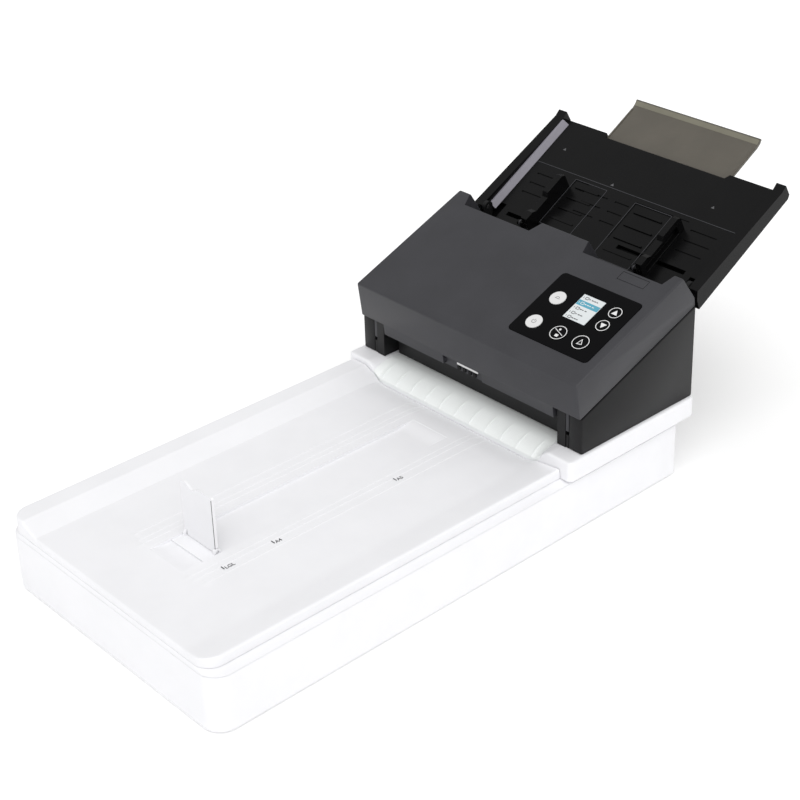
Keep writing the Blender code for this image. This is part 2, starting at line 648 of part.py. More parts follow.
def adf_drive():
    motor = rod("adf_motor", "X", MOTOR_AXIS, (-125, -92), 17, "steel")
    motor.join(rod_mesh("X", MOTOR_AXIS, (-151, -120), 2, 16))
    origin = (0, *MOTOR_AXIS)
    pulley = rod(
        "adf_motor_pulley", "X", MOTOR_AXIS, PULLEY_SIDE, MOTOR_PULLEY_RADIUS, "gear_plastic", origin=origin
    )
    pulley.cut(rod_mesh("X", MOTOR_AXIS, (-160, -140), 2.3, 16))
    circles = [(*centre, BELT_PULLEY_RADIUS) for centre, *_ in SHAFTS.values()]
    circles.append((*MOTOR_AXIS, MOTOR_PULLEY_RADIUS))
    loops = [belt_loop(circles, GAP + 1.2), belt_loop(circles, GAP)]
    Piece("transport_belt", outline_mesh(loops, "YZ", (-149, -144)), "rubber")


def lower_guide():
    """The plate under the paper, with its front wall behind the ramp and slots for the rollers."""
    reach = 121.0
    front, drop = 460.0, RAMP_TOP + 1.2
    top = [point_in(PATH, 0, u, -2.2)[1:] for u in (18.0, 170.0)]
    under = [point_in(PATH, 0, u, -5.2)[1:] for u in (170.0, 20.0)]
    profile = [(front + 2.3, drop), (front, drop), (front, 104)] + top + under + [(front + 2.3, 123.5)]
    guide = Piece("lower_guide", outline_mesh([profile], "YZ", (-reach, reach)), "black_plastic")
    for _, radius, places, width in SHAFTS.values():
        u = 20 if radius < 9 else 124
        for x in places:
            half = width / 2 + 1.5
            front_end = 2 if u == 20 else u - radius
            guide.cut(box_mesh((x - half, x + half), (front_end, u + radius), (-16, 2)), PATH)
    guide.cut(box_mesh((-109, 109), (62, 78), (-16, 2)), PATH)
    box("lower_sensor", (-108.5, 108.5), (62.5, 77.5), (-16, -2.6), "glass", PATH)


# ---------------------------------------------------------------- cover

def cover_profile():
    return [
        (441.0, PARTING_FRONT_Z + GAP),
        (COVER_FRONT_Y, COVER_FRONT_Z),
        (COVER_REAR_Y, COVER_REAR_Z),
        (608.0, 196.0),
        (FEEDER_REAR, PARTING_REAR_Z + GAP),
    ]


def cover_shell():
    hinge = (0, COVER_PIVOT_Y, COVER_PIVOT_Z)
    half = COVER_HALF_WIDTH
    block = outline_mesh([cover_profile()], "YZ", (-half, half))
    cover = Piece("cover_shell", block, "slate_plastic", origin=hinge).bevel(2.0, 3)
    lip = [(442.2, EXIT_EDGE_Z), (440.6, 128), (449, 130), (447, EXIT_EDGE_Z)]
    cover.join(outline_mesh([lip], "YZ", (-122.5, 122.5)))
    cavity = [
        (452.0, 120.0),
        (441.0, 136.0),
        (439.0, 162.2),
        (565.0, 211.9),
        (571.0, 197.0),
        (571.0, 160.0),
    ]
    cover.cut(outline_mesh([cavity], "YZ", (-half + WALL, half - WALL)))
    cover.cut(box_mesh((-122, 122), (-2, 190), (-4, 1.5)), PATH)
    notches = (
        ([(-134, 147), (-38, 147), (-28, 175), (-146, 175)], -60),
        ([(38, 147.02), (143, 147.02), (150, 176), (28, 176)], -61),
    )
    for notch, depth in notches:
        cover.cut(outline_mesh([notch], "XY", (depth, 6)), COVER)
    for side in (-1, 1):
        ends = sorted((side * ARM_INNER, side * ARM_OUTER))
        arm = [(444.3, 104), (444.3, 127), (441.5, 150), (452, 152), (459, 128), (459.5, 108)]
        cover.join(outline_mesh([arm], "YZ", ends))
        cover.join(rod_mesh("X", (COVER_PIVOT_Y, COVER_PIVOT_Z), ends, 7.6, 28))
        hole = sorted((side * (ARM_INNER - 1), side * (ARM_OUTER + 1)))
        cover.cut(rod_mesh("X", (COVER_PIVOT_Y, COVER_PIVOT_Z), hole, 2.8, 20))
    cover.cut(outline_mesh([round_rect((40, 146), (27, 116), 5)], "XY", (-1.6, 4)), COVER)
    cover.cut(outline_mesh([round_rect((46, 140), (33, 110), 3)], "XY", (-12, 4)), COVER)
    cover.cut(box_mesh((LATCH[0][0], LATCH[0][1]), LATCH[1], (-12, 4)), COVER)


def cover_pins():
    pivot = (COVER_PIVOT_Y, COVER_PIVOT_Z)
    for side, name in ((-1, "cover_hinge_pin_left"), (1, "cover_hinge_pin_right")):
        ends = sorted((side * 128, side * 150))
        rod(name, "X", pivot, ends, 2.5, "steel", sides=20)


def cover_inner_guide():
    """The plate over the paper, with lugs that carry the pinch shafts."""
    hinge = (0, COVER_PIVOT_Y, COVER_PIVOT_Z)
    guide = box("cover_inner_guide", (-121, 121), (9, 136), (1.9, 4.4), "black_plastic", PATH, hinge)
    for name, (centre, radius, places, width) in PINCH.items():
        u = 20 if name == "exit" else 124
        for x in places:
            half = width / 2 + 1.5
            guide.cut(box_mesh((x - half, x + half), (u - radius, u + radius), (-2, 12)), PATH)
        for x in (-106, 102):
            height = 13 if name == "exit" else 16
            guide.join(box_mesh((x, x + 4), (u - 5, u + 5), (4, height)), PATH)
        guide.cut(rod_mesh("X", centre, (-108, 108), 2.3, 16))
    guide.cut(box_mesh((-100, 100), (62, 78), (-2, 12)), PATH)
    box("upper_sensor", (-99.5, 99.5), (62.5, 77.5), (2.2, 14), "glass", PATH, hinge)


def control_panel():
    """A gloss bezel on the cover, with the display and six keys in their own openings."""
    hinge = (0, COVER_PIVOT_Y, COVER_PIVOT_Z)
    outline = round_rect((40 + GAP, 146 - GAP), (27 + GAP, 116 - GAP), 5)
    bezel = Piece("panel_bezel", outline_mesh([outline], "XY", (-1.3, 0.5)), "panel_gloss", COVER, hinge)
    x, v = DISPLAY
    bezel.cut(box_mesh(x, v, (-3, 3)), COVER)
    inner = [(x[0] + GAP, x[1] - GAP), (v[0] + GAP, v[1] - GAP)]
    box("lcd_display", *inner, (-3, 0.35), "display", COVER, hinge)
    for name, (bx, bv, radius, finish) in KEYS.items():
        bezel.cut(rod_mesh("Z", (bx, bv), (-3, 3), radius + GAP, 32), COVER)
        middle = point_in(COVER, bx, bv, 0)
        rod(name, "Z", (bx, bv), (-4.5, 1.1), radius, finish, 32, COVER, middle)


def latch_button():
    x, v = LATCH
    middle = point_in(COVER, sum(x) / 2, sum(v) / 2, 0)
    inset = 0.5
    span = [(x[0] + inset, x[1] - inset), (v[0] + inset, v[1] - inset)]
    latch = box("latch_button", *span, (-3.5, 0.3), "slate_plastic", COVER, middle)
    latch.bevel(0.4, 1)


# ---------------------------------------------------------------- input tray

def bar_profile():
    return [(0, 0), (TRAY_LENGTH, 0), (160, 3), (160, 16.5), (152, 14.4), (7, 20.6), (2.2, 12)]


def input_tray():
    hinge = tray_pivot()
    plate_top = 8.0
    tray = box("input_tray", (-147, 147), (2, TRAY_LENGTH), (4, plate_top), "tray_plastic", TRAY, hinge)
    for side in (-1, 1):
        ends = sorted((side * 146, side * FEEDER_HALF_WIDTH))
        tray.join(outline_mesh([bar_profile()], "YZ", ends), TRAY)
        tray.cut(box_mesh(sorted((side * 130, side * 146)), (-2, 26), (0, 30)), TRAY)
        hole = sorted((side * 145, side * 156.5))
        tray.cut(rod_mesh("X", (TRAY_PIVOT_U, TRAY_PIVOT_N), hole, 2.8, 20), TRAY)
        rail = [(side * 87, 4.5), (side * 87, 0.3), (side * 84, 0.3), (side * 84, -1.2)]
        rail += [(side * 90, -1.2), (side * 90, 4.5)]
        tray.join(outline_mesh([rail], "XZ", (92, 152)), TRAY)
    notch = [(-88, 160), (-83, 150), (83, 150), (88, 160)]
    tray.cut(outline_mesh([notch], "XY", (-4, 20)), TRAY)
    tray_recesses(tray)
    tray.cut(box_mesh((-121, -30), (13.5, 18.7), (2, 12)), TRAY)
    tray.cut(box_mesh((30, 121), (25.3, 30.5), (2, 12)), TRAY)
    tray.join(rod_mesh("Z", (0, 22), (-1, 5), 1.5, 16), TRAY)
    for side, name in ((-1, "tray_hinge_pin_left"), (1, "tray_hinge_pin_right")):
        ends = sorted((side * 141.5, side * 156))
        rod(name, "X", hinge[1:], ends, 2.5, "steel", sides=20)


def tray_recesses(tray):
    """Two shallow panels and the short cross grooves pressed into the tray's face."""
    for x in ((-75, -55), (12, 84)):
        tray.cut(box_mesh(x, (34, 86), (7.2, 12)), TRAY)
    for v in (48, 62, 76):
        for x in ((-50, -22), (-12, 8), (92, 126), (-126, -94)):
            tray.cut(box_mesh(x, (v, v + 2), (7.0, 12)), TRAY)


def tray_extension():
    profile = [(95, EXTENSION_BOTTOM), (EXTENSION_END, EXTENSION_BOTTOM), (EXTENSION_END, 6.5)]
    profile += [(210.6, 6.9), (206.5, 3.4), (95, 3.4)]
    origin = point_in(TRAY, 0, 95, EXTENSION_BOTTOM)
    shape = outline_mesh([profile], "YZ", (-86.2, 86.2))
    Piece("tray_extension", shape, "smoked_plastic", TRAY, origin)


def paper_guides():
    """Two side guides on racks that meet one pinion, so that they move apart together."""
    for side, name, rack_u in ((-1, "paper_guide_left", 14.0), (1, "paper_guide_right", 26.0)):
        x_inner, x_outer = side * GUIDE_X, side * (GUIDE_X + 8)
        wall = [(4, 8.3), (76, 8.3), (77, 24), (73, 27), (48, 27), (44, 22), (24, 22), (19, 25), (8, 25)]
        origin = point_in(TRAY, x_inner, 22, 8.3)
        shape = outline_mesh([wall], "YZ", sorted((x_inner, x_outer)))
        guide = Piece(name, shape, "tray_plastic", TRAY, origin)
        guide.cut(box_mesh(sorted((side * (GUIDE_X + 2), side * (GUIDE_X + 12))), (12, 68), (10, 20)), TRAY)
        guide.join(box_mesh(sorted((x_inner, side * (GUIDE_X + 6))), (rack_u, rack_u + 4), (2, 9)), TRAY)
        rack = sorted((side * -18, side * (GUIDE_X + 6)))
        guide.join(box_mesh(rack, (rack_u, rack_u + 4), (-0.6, 3.4)), TRAY)
    teeth = 10
    outline = []
    for i in range(teeth * 4):
        radius = 3.9 if i % 4 < 2 else 3.0
        outline.append(arc((0, 22), radius, i * 360 / (teeth * 4), 0, 1)[0])
    origin = point_in(TRAY, 0, 22, 1)
    pinion = outline_mesh([outline], "XY", (-0.6, 3.4))
    gear = Piece("guide_pinion", pinion, "gear_plastic", TRAY, origin)
    gear.cut(rod_mesh("Z", (0, 22), (-3, 6), 1.8, 16), TRAY)


clear_scene()
PARTS = new_collection("document_scanner")
TOOLS = new_collection("cutters")
ROOT = bpy.data.objects.new("scanner_root", None)
PARTS.objects.link(ROOT)
ROOT.matrix_world = Matrix.Translation((0, -OVERALL_LENGTH / 2 * MM, 0))

base_housing()
base_ports()
base_top_frame()
flatbed_glass()
base_feet()
flatbed_drive()
scan_carriage()
main_board()
lid_shell()
stopper()
adf_plinth()
exit_ramp()
adf_sides()
adf_lower_frame()
rollers()
adf_drive()
lower_guide()
cover_shell()
cover_pins()
cover_inner_guide()
control_panel()
latch_button()
input_tray()
tray_extension()
paper_guides()
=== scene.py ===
"""Looks of the document scanner: moulded shells, the printed panel, materials, light and camera.

Sizes are in millimetres in the scanner's own frame (Y from the base's front edge), and the
helper functions turn them into the loaded frame's metres.
"""

import json
import math

import bmesh
import bpy
from mathutils import Matrix, Vector


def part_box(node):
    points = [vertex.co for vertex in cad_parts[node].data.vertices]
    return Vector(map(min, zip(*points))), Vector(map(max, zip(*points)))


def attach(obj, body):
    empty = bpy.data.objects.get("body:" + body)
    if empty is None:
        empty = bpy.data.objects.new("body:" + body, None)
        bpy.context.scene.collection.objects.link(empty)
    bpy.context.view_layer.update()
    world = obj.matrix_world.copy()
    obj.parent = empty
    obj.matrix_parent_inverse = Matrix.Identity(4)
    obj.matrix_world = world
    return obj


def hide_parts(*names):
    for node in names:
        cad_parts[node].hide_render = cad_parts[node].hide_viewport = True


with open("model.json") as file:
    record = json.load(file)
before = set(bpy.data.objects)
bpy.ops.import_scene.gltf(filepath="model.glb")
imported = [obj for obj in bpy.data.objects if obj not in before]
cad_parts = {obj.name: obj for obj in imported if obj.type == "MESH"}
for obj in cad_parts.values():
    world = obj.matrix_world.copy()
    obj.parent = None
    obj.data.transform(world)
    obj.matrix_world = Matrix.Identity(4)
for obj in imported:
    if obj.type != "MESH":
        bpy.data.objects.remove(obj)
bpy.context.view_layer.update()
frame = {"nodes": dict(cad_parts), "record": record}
BODY_OF = {node: body for body, nodes in frame["record"]["behaviour"]["bodies"].items() for node in nodes}

MM = 0.001
FRONT_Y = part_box("base_housing")[0][1]
ORIGIN = Matrix.Translation((0, FRONT_Y, 0)) @ Matrix.Scale(MM, 4)

COVER_SLOPE = math.atan2(60.0, 152.0)
TRAY_TILT = math.radians(29.4)
WORLD = Matrix.Identity(4)
COVER = Matrix.Translation((0, 436, 164)) @ Matrix.Rotation(COVER_SLOPE, 4, "X")
TRAY = Matrix.Translation((0, 614.1, 180.9)) @ Matrix.Rotation(TRAY_TILT, 4, "X")

PLANES = {
    "XY": Matrix.Identity(4),
    "XZ": Matrix(((1, 0, 0, 0), (0, 0, -1, 0), (0, 1, 0, 0), (0, 0, 0, 1))),
    "YZ": Matrix(((0, 0, 1, 0), (1, 0, 0, 0), (0, 1, 0, 0), (0, 0, 0, 1))),
}


# ---------------------------------------------------------------- materials

def shader_nodes(name):
    material = bpy.data.materials.new(name)
    material.use_nodes = True
    tree = material.node_tree
    return material, tree, tree.nodes["Principled BSDF"]


def add(tree, kind, **values):
    node = tree.nodes.new(kind)
    for key, value in values.items():
        if hasattr(node, key):
            setattr(node, key, value)
        else:
            node.inputs[key].default_value = value
    return node


def ramp_between(tree, source, low, high, start=0.35, stop=0.65):
    ramp = add(tree, "ShaderNodeValToRGB")
    ramp.color_ramp.elements[0].position = start
    ramp.color_ramp.elements[0].color = (*low, 1)
    ramp.color_ramp.elements[1].position = stop
    ramp.color_ramp.elements[1].color = (*high, 1)
    tree.links.new(source, ramp.inputs["Fac"])
    return ramp


def moulded(name, colour, spread=0.06, rough=(0.4, 0.5), grain=1800.0, bump=0.05, **sockets):
    """A moulded plastic: a faint mottle in its colour and roughness, and a fine spark-eroded grain."""
    material, tree, shader = shader_nodes(name)
    where = add(tree, "ShaderNodeTexCoord")
    mottle = add(tree, "ShaderNodeTexNoise", Scale=22.0, Detail=4.0, Roughness=0.6)
    fine = add(tree, "ShaderNodeTexNoise", Scale=grain, Detail=3.0, Roughness=0.7)
    for node in (mottle, fine):
        tree.links.new(where.outputs["Object"], node.inputs["Vector"])
    low = tuple(c * (1 - spread) for c in colour)
    high = tuple(min(1.0, c * (1 + spread)) for c in colour)
    tint = ramp_between(tree, mottle.outputs["Fac"], low, high)
    tree.links.new(tint.outputs["Color"], shader.inputs["Base Color"])
    span = add(tree, "ShaderNodeMapRange")
    span.inputs["To Min"].default_value = rough[0]
    span.inputs["To Max"].default_value = rough[1]
    tree.links.new(mottle.outputs["Fac"], span.inputs["Value"])
    tree.links.new(span.outputs["Result"], shader.inputs["Roughness"])
    relief = add(tree, "ShaderNodeBump", Strength=bump, Distance=0.0002)
    tree.links.new(fine.outputs["Fac"], relief.inputs["Height"])
    tree.links.new(relief.outputs["Normal"], shader.inputs["Normal"])
    for socket, value in sockets.items():
        shader.inputs[socket.replace("_", " ")].default_value = value
    return material


def brushed(name, colour, rough=(0.25, 0.4)):
    """Drawn or turned metal, with long fine streaks."""
    material, tree, shader = shader_nodes(name)
    where = add(tree, "ShaderNodeTexCoord")
    stretch = add(tree, "ShaderNodeMapping")
    stretch.inputs["Scale"].default_value = (30, 900, 900)
    streaks = add(tree, "ShaderNodeTexNoise", Scale=1.0, Detail=5.0)
    tree.links.new(where.outputs["Object"], stretch.inputs["Vector"])
    tree.links.new(stretch.outputs["Vector"], streaks.inputs["Vector"])
    tint = ramp_between(tree, streaks.outputs["Fac"], tuple(c * 0.85 for c in colour), colour)
    tree.links.new(tint.outputs["Color"], shader.inputs["Base Color"])
    span = add(tree, "ShaderNodeMapRange")
    span.inputs["To Min"].default_value = rough[0]
    span.inputs["To Max"].default_value = rough[1]
    tree.links.new(streaks.outputs["Fac"], span.inputs["Value"])
    tree.links.new(span.outputs["Result"], shader.inputs["Roughness"])
    shader.inputs["Metallic"].default_value = 1.0
    return material


def make_materials():
    made = {
        "white_plastic": moulded("white_shell", (0.85, 0.85, 0.87), 0.012, (0.42, 0.5), 1500, 0.04),
        # The ramp's white: its faint green tint is its own, and its extra lightness is painted light for
        # the brightly lit ramp.
        "ramp_plastic": moulded("ramp_lit_white", (0.86, 0.885, 0.875), 0.02, (0.35, 0.45), 1500, 0.03),
        "slate_plastic": moulded(
            "slate_grain", (0.034, 0.034, 0.039), 0.08, (0.42, 0.5), 2600, 0.2, Specular_IOR_Level=0.4
        ),
        "black_plastic": moulded(
            "black_grain", (0.009, 0.009, 0.0095), 0.12, (0.38, 0.46), 2400, 0.2, Specular_IOR_Level=0.22
        ),
        "tray_plastic": moulded(
            "tray_black", (0.003, 0.003, 0.0032), 0.12, (0.22, 0.3), 2200, 0.1, Specular_IOR_Level=0.16
        ),
        "smoked_plastic": moulded(
            "smoked_clear", (0.10, 0.09, 0.072), 0.06, (0.12, 0.2), 900, 0.02, Alpha=0.92
        ),
        # A lighter copy of the smoked plastic: painted highlight for the extension's curled lip.
        "smoked_lip_highlight": moulded("smoked_lip_highlight", (0.19, 0.18, 0.135), 0.06, (0.2, 0.3), 900, 0.02),
        "panel_gloss": moulded(
            "panel_gloss", (0.0025, 0.0025, 0.003), 0.1, (0.1, 0.16), 700, 0.01, Specular_IOR_Level=0.06
        ),
        "display": moulded("display_window", (0.70, 0.74, 0.76), 0.02, (0.12, 0.18), 700, 0.01),
        "button_white": moulded("key_white", (0.70, 0.70, 0.70), 0.02, (0.3, 0.38), 1500, 0.03),
        "button_black": moulded(
            "key_black", (0.003, 0.003, 0.0035), 0.1, (0.16, 0.24), 1500, 0.03, Specular_IOR_Level=0.06
        ),
        "glass": moulded(
            "clear_glass", (0.86, 0.93, 0.90), 0.02, (0.02, 0.05), 60, 0.0, Transmission_Weight=0.9
        ),
        "rubber": moulded("rubber", (0.032, 0.032, 0.034), 0.15, (0.75, 0.9), 1400, 0.35),
        "steel": brushed("turned_steel", (0.60, 0.60, 0.61)),
        "circuit_board": moulded("solder_mask", (0.02, 0.13, 0.05), 0.25, (0.35, 0.5), 400, 0.1),
        "white_foam": moulded("foam_sheet", (0.82, 0.82, 0.82), 0.03, (0.8, 0.95), 900, 0.5),
        "gear_plastic": moulded("acetal", (0.72, 0.71, 0.67), 0.04, (0.35, 0.45), 1200, 0.05),
        "port_metal": brushed("nickel", (0.62, 0.62, 0.63), (0.2, 0.35)),
        # A lilac-grey for the painted reflection on the tray's left rail face.
        "rail_reflection_grey": moulded("rail_reflection_grey", (0.24, 0.23, 0.265), 0.05, (0.25, 0.35), 1800, 0.05),
        "ink_grey": moulded("printed_grey", (0.09, 0.09, 0.095), 0.1, (0.5, 0.6), 2000, 0.05),
        "ink_white": moulded("printed_white", (0.78, 0.78, 0.78), 0.03, (0.35, 0.45), 2000, 0.03),
        "screen_blue": moulded("screen_blue", (0.08, 0.30, 0.40), 0.08, (0.12, 0.2), 500, 0.01),
        "screen_white": moulded("screen_white", (0.62, 0.65, 0.66), 0.02, (0.12, 0.2), 500, 0.01),
    }
    for name in ("screen_blue", "screen_white"):
        shader = made[name].node_tree.nodes["Principled BSDF"]
        tint = made[name].node_tree.nodes["Color Ramp"]
        made[name].node_tree.links.new(tint.outputs["Color"], shader.inputs["Emission Color"])
        shader.inputs["Emission Strength"].default_value = 0.12
    return made


MATERIALS = make_materials()


# ---------------------------------------------------------------- building pieces

def finish_piece(name, bm, body, finish, place=WORLD, sharp=32):
    """Turns a mesh in scanner millimetres into a piece that rides on a body."""
    bmesh.ops.transform(bm, matrix=ORIGIN @ place, verts=bm.verts)
    bmesh.ops.recalc_face_normals(bm, faces=bm.faces)
    mesh = bpy.data.meshes.new(name)
    bm.to_mesh(mesh)
    bm.free()
    mesh.materials.append(MATERIALS[finish])
    mesh.shade_smooth()
    mesh.set_sharp_from_angle(angle=math.radians(sharp))
    obj = bpy.data.objects.new(name, mesh)
    bpy.context.scene.collection.objects.link(obj)
    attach(obj, body)
    return obj


def bevel(obj, width, segments=3, angle=30):
    """Rounds the edges sharper than an angle in degrees, by a width in millimetres."""
    modifier = obj.modifiers.new("edges", "BEVEL")
    modifier.width = width * MM
    modifier.segments = segments
    modifier.limit_method = "ANGLE"
    modifier.angle_limit = math.radians(angle)
    modifier.harden_normals = True
    return modifier


def apply_modifiers(obj):
    depsgraph = bpy.context.evaluated_depsgraph_get()
    mesh = bpy.data.meshes.new_from_object(obj.evaluated_get(depsgraph))
    old = obj.data
    obj.modifiers.clear()
    obj.data = mesh
    bpy.data.meshes.remove(old)


def arc(centre, radius, start, stop, steps):
    angles = [math.radians(start + (stop - start) * i / steps) for i in range(steps + 1)]
    return [(centre[0] + radius * math.cos(a), centre[1] + radius * math.sin(a)) for a in angles]


def round_rect(x, y, radius, steps=6):
    corners = (
        (x[0] + radius, y[0] + radius, 180),
        (x[1] - radius, y[0] + radius, 270),
        (x[1] - radius, y[1] - radius, 0),
        (x[0] + radius, y[1] - radius, 90),
    )
    points = []
    for cx, cy, start in corners:
        points += arc((cx, cy), radius, start, start + 90, steps)
    return points


def outline_mesh(outlines, plane, ends):
    """A flat outline, with any holes after it, given thickness across its plane."""
    curve = bpy.data.curves.new("outline", "CURVE")
    curve.dimensions = "2D"
    curve.fill_mode = "BOTH"
    curve.extrude = abs(ends[1] - ends[0]) / 2
    for points in outlines:
        spline = curve.splines.new("POLY")
        spline.points.add(len(points) - 1)
        for point, (u, v) in zip(spline.points, points):
            point.co = (u, v, 0, 1)
        spline.use_cyclic_u = True
    source = bpy.data.objects.new("outline", curve)
    bpy.context.scene.collection.objects.link(source)
    depsgraph = bpy.context.evaluated_depsgraph_get()
    flat = bpy.data.meshes.new_from_object(source.evaluated_get(depsgraph))
    bm = bmesh.new()
    bm.from_mesh(flat)
    bmesh.ops.remove_doubles(bm, verts=bm.verts, dist=0.0001)
    middle = (ends[0] + ends[1]) / 2 * (-1 if plane == "XZ" else 1)
    bmesh.ops.transform(bm, matrix=PLANES[plane] @ Matrix.Translation((0, 0, middle)), verts=bm.verts)
    bpy.data.objects.remove(source)
    bpy.data.curves.remove(curve)
    bpy.data.meshes.remove(flat)
    return bm


BEVEL_OVER = 28
SMOOTH_BELOW = math.radians(BEVEL_OVER)
FLAT_BELOW = math.radians(0.6)
WELD_WITHIN = 0.000002


def node_slot(node):
    return next(s["material_slot"] for s in frame["record"]["subparts"] if s["node"] == node)


def moulded_shading():
    """A node group that shades faces smooth and leaves the sharper edges sharp."""
    group = bpy.data.node_groups.new("moulded_shading", "GeometryNodeTree")
    for way in ("INPUT", "OUTPUT"):
        group.interface.new_socket("Geometry", in_out=way, socket_type="NodeSocketGeometry")
    start, end = add(group, "NodeGroupInput"), add(group, "NodeGroupOutput")
    faces = add(group, "GeometryNodeSetShadeSmooth", domain="FACE")
    edges = add(group, "GeometryNodeSetShadeSmooth", domain="EDGE")
    edges.inputs["Shade Smooth"].default_value = False
    angle = add(group, "GeometryNodeInputMeshEdgeAngle")
    sharp = add(group, "FunctionNodeCompare", operation="GREATER_THAN")
    sharp.inputs["B"].default_value = SMOOTH_BELOW
    group.links.new(angle.outputs["Unsigned Angle"], sharp.inputs["A"])
    group.links.new(sharp.outputs["Result"], edges.inputs["Selection"])
    group.links.new(start.outputs["Geometry"], faces.inputs["Geometry"])
    group.links.new(faces.outputs["Geometry"], edges.inputs["Geometry"])
    group.links.new(edges.outputs["Geometry"], end.inputs["Geometry"])
    return group


def edge_modifiers(obj, width, shading):
    """Flat faces made whole and edges given a moulded radius; the mesh itself is left alone."""
    weld = obj.modifiers.new("weld", "WELD")
    weld.merge_threshold = WELD_WITHIN
    flat = obj.modifiers.new("flat", "DECIMATE")
    flat.decimate_type = "DISSOLVE"
    flat.angle_limit = FLAT_BELOW
    flat.delimit = {"NORMAL"}
    obj.modifiers.new("shading", "NODES").node_group = shading
    bevel(obj, width, 2, BEVEL_OVER).use_clamp_overlap = True


def dress_node(node, width, shading):
    """A CAD node that stays: its material, and its edge radii as modifiers."""
    obj = frame["nodes"][node]
    for entry in obj.material_slots:
        entry.material = MATERIALS[node_slot(node)]
    if width:
        edge_modifiers(obj, width, shading)


def refined_copy(node, width, shading):
    """A piece that stands for a CAD node and starts from its shape."""
    mesh = frame["nodes"][node].data.copy()
    mesh.name = node + "_fine"
    mesh.materials.clear()
    mesh.materials.append(MATERIALS[node_slot(node)])
    obj = bpy.data.objects.new(node + "_fine", mesh)
    bpy.context.scene.collection.objects.link(obj)
    edge_modifiers(obj, width, shading)
    apply_modifiers(obj)
    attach(obj, BODY_OF[node])
    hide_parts(node)
    return obj


# ---------------------------------------------------------------- lid

LID_X = (-155.0, 149.0)
LID_Y = (2.0, 423.6)
LID_CORNER, LID_MARGIN = 18.0, 20.0
CHANNEL_X, CHANNEL_Y, CHANNEL_Z = 25.0, (68.0, 392.0), 68.0
FLOOR_Z, BAND_Z, RIM_Z = 71.0, 80.0, 74.5
LID_RIM_UNDER, LID_UNDER = 64.4, 66.6
RIDGES = (36.0, 43.0, 54.0)


def ease(value):
    t = min(1.0, max(0.0, value))
    return t * t * (3 - 2 * t)


def rounding(distance, radius):
    """How far a rounded edge has dropped at a distance in from it."""
    inside = min(radius, max(0.0, distance))
    return radius - math.sqrt(radius * radius - (radius - inside) ** 2)


def lid_edges(y):
    """The lid's left and right edges at y: straight, with two rounded front corners."""
    ahead = LID_CORNER - (y - LID_Y[0])
    pull = 0.0 if ahead <= 0 else LID_CORNER - math.sqrt(max(0.0, LID_CORNER**2 - ahead**2))
    return LID_X[0] + pull, LID_X[1] - pull


def lid_height(x, y):
    """The top surface: left band, sloping sides, a dished floor and raised paper ribs."""
    left, right = lid_edges(y)
    z = FLOOR_Z
    if x < -112:
        z = FLOOR_Z + (BAND_Z - FLOOR_Z) * min(1.0, (-112 - x) / 22)
    elif x > 118:
        z = FLOOR_Z + (RIM_Z - FLOOR_Z) * min(1.0, (x - 118) / 28)
    else:
        back = max(0.0, (y - 394) / 29.6)
        z -= 4.6 * back * back * ease((118 - abs(x)) / 10)
    for ridge in RIDGES:
        inset = abs(abs(x) - ridge)
        along = ease((y - 50 - ridge * 0.3) / 12)
        z += 0.32 * along * max(0.0, 1 - inset / 0.6)
    z -= rounding(min(x - left, right - x), 2.4)
    z -= rounding(y - LID_Y[0], 2.4)
    z -= rounding(LID_Y[1] - y, 0.8)
    return z


def spread(low, high, step):
    count = max(1, round((high - low) / step))
    return [low + (high - low) * i / count for i in range(count + 1)]


def lid_columns():
    """Stations across the lid: dense at its edges, ridges and channel walls."""
    edge = [0, 0.15, 0.5, 1.0, 1.7, 2.4, 4.0, 8.0, 13.0, LID_MARGIN]
    inner = spread(-134, -112, 5.5) + [-104, -90, -76, -64]
    for ridge in RIDGES:
        inner += [-ridge + d for d in (-0.6, 0, 0.6)] + [ridge + d for d in (-0.6, 0, 0.6)]
    inner += [-27, -26, 26, 27, -CHANNEL_X, CHANNEL_X, -24.6, 24.6, -16, -8, 0, 8, 16]
    inner += [64, 76, 90, 104, 112, 118, 122, 128]
    return edge, sorted(inner)


def lid_rows():
    edge = [0, 0.15, 0.5, 1.0, 1.7, 2.4, 4, 6, 9, 12, 15, 18, 24, 32, 40, 50]
    rows = [LID_Y[0] + d for d in edge] + [58, 63, CHANNEL_Y[0], CHANNEL_Y[0] + 0.4]
    rows += [72, 76, 82, 90] + spread(100, 370, 15)
    rows += [374, 378, 382, 386, 389, CHANNEL_Y[1] - 0.4, CHANNEL_Y[1]]
    rows += [396, 400, 404, 408, 412, 415, 418, 420.5]
    rows += [LID_Y[1] - 0.8, LID_Y[1] - 0.25, LID_Y[1]]
    return sorted(rows)


def channel_floor(y):
    """The channel's floor, with a slope up at each end."""
    front = ease((CHANNEL_Y[0] + 16 - y) / 16)
    rear = ease((y - CHANNEL_Y[1] + 22) / 22)
    return CHANNEL_Z + (FLOOR_Z - CHANNEL_Z - 0.2) * max(front, rear)


def in_channel(x, y):
    return abs(x) <= CHANNEL_X - 0.4 and CHANNEL_Y[0] + 0.4 <= y <= CHANNEL_Y[1] - 0.4


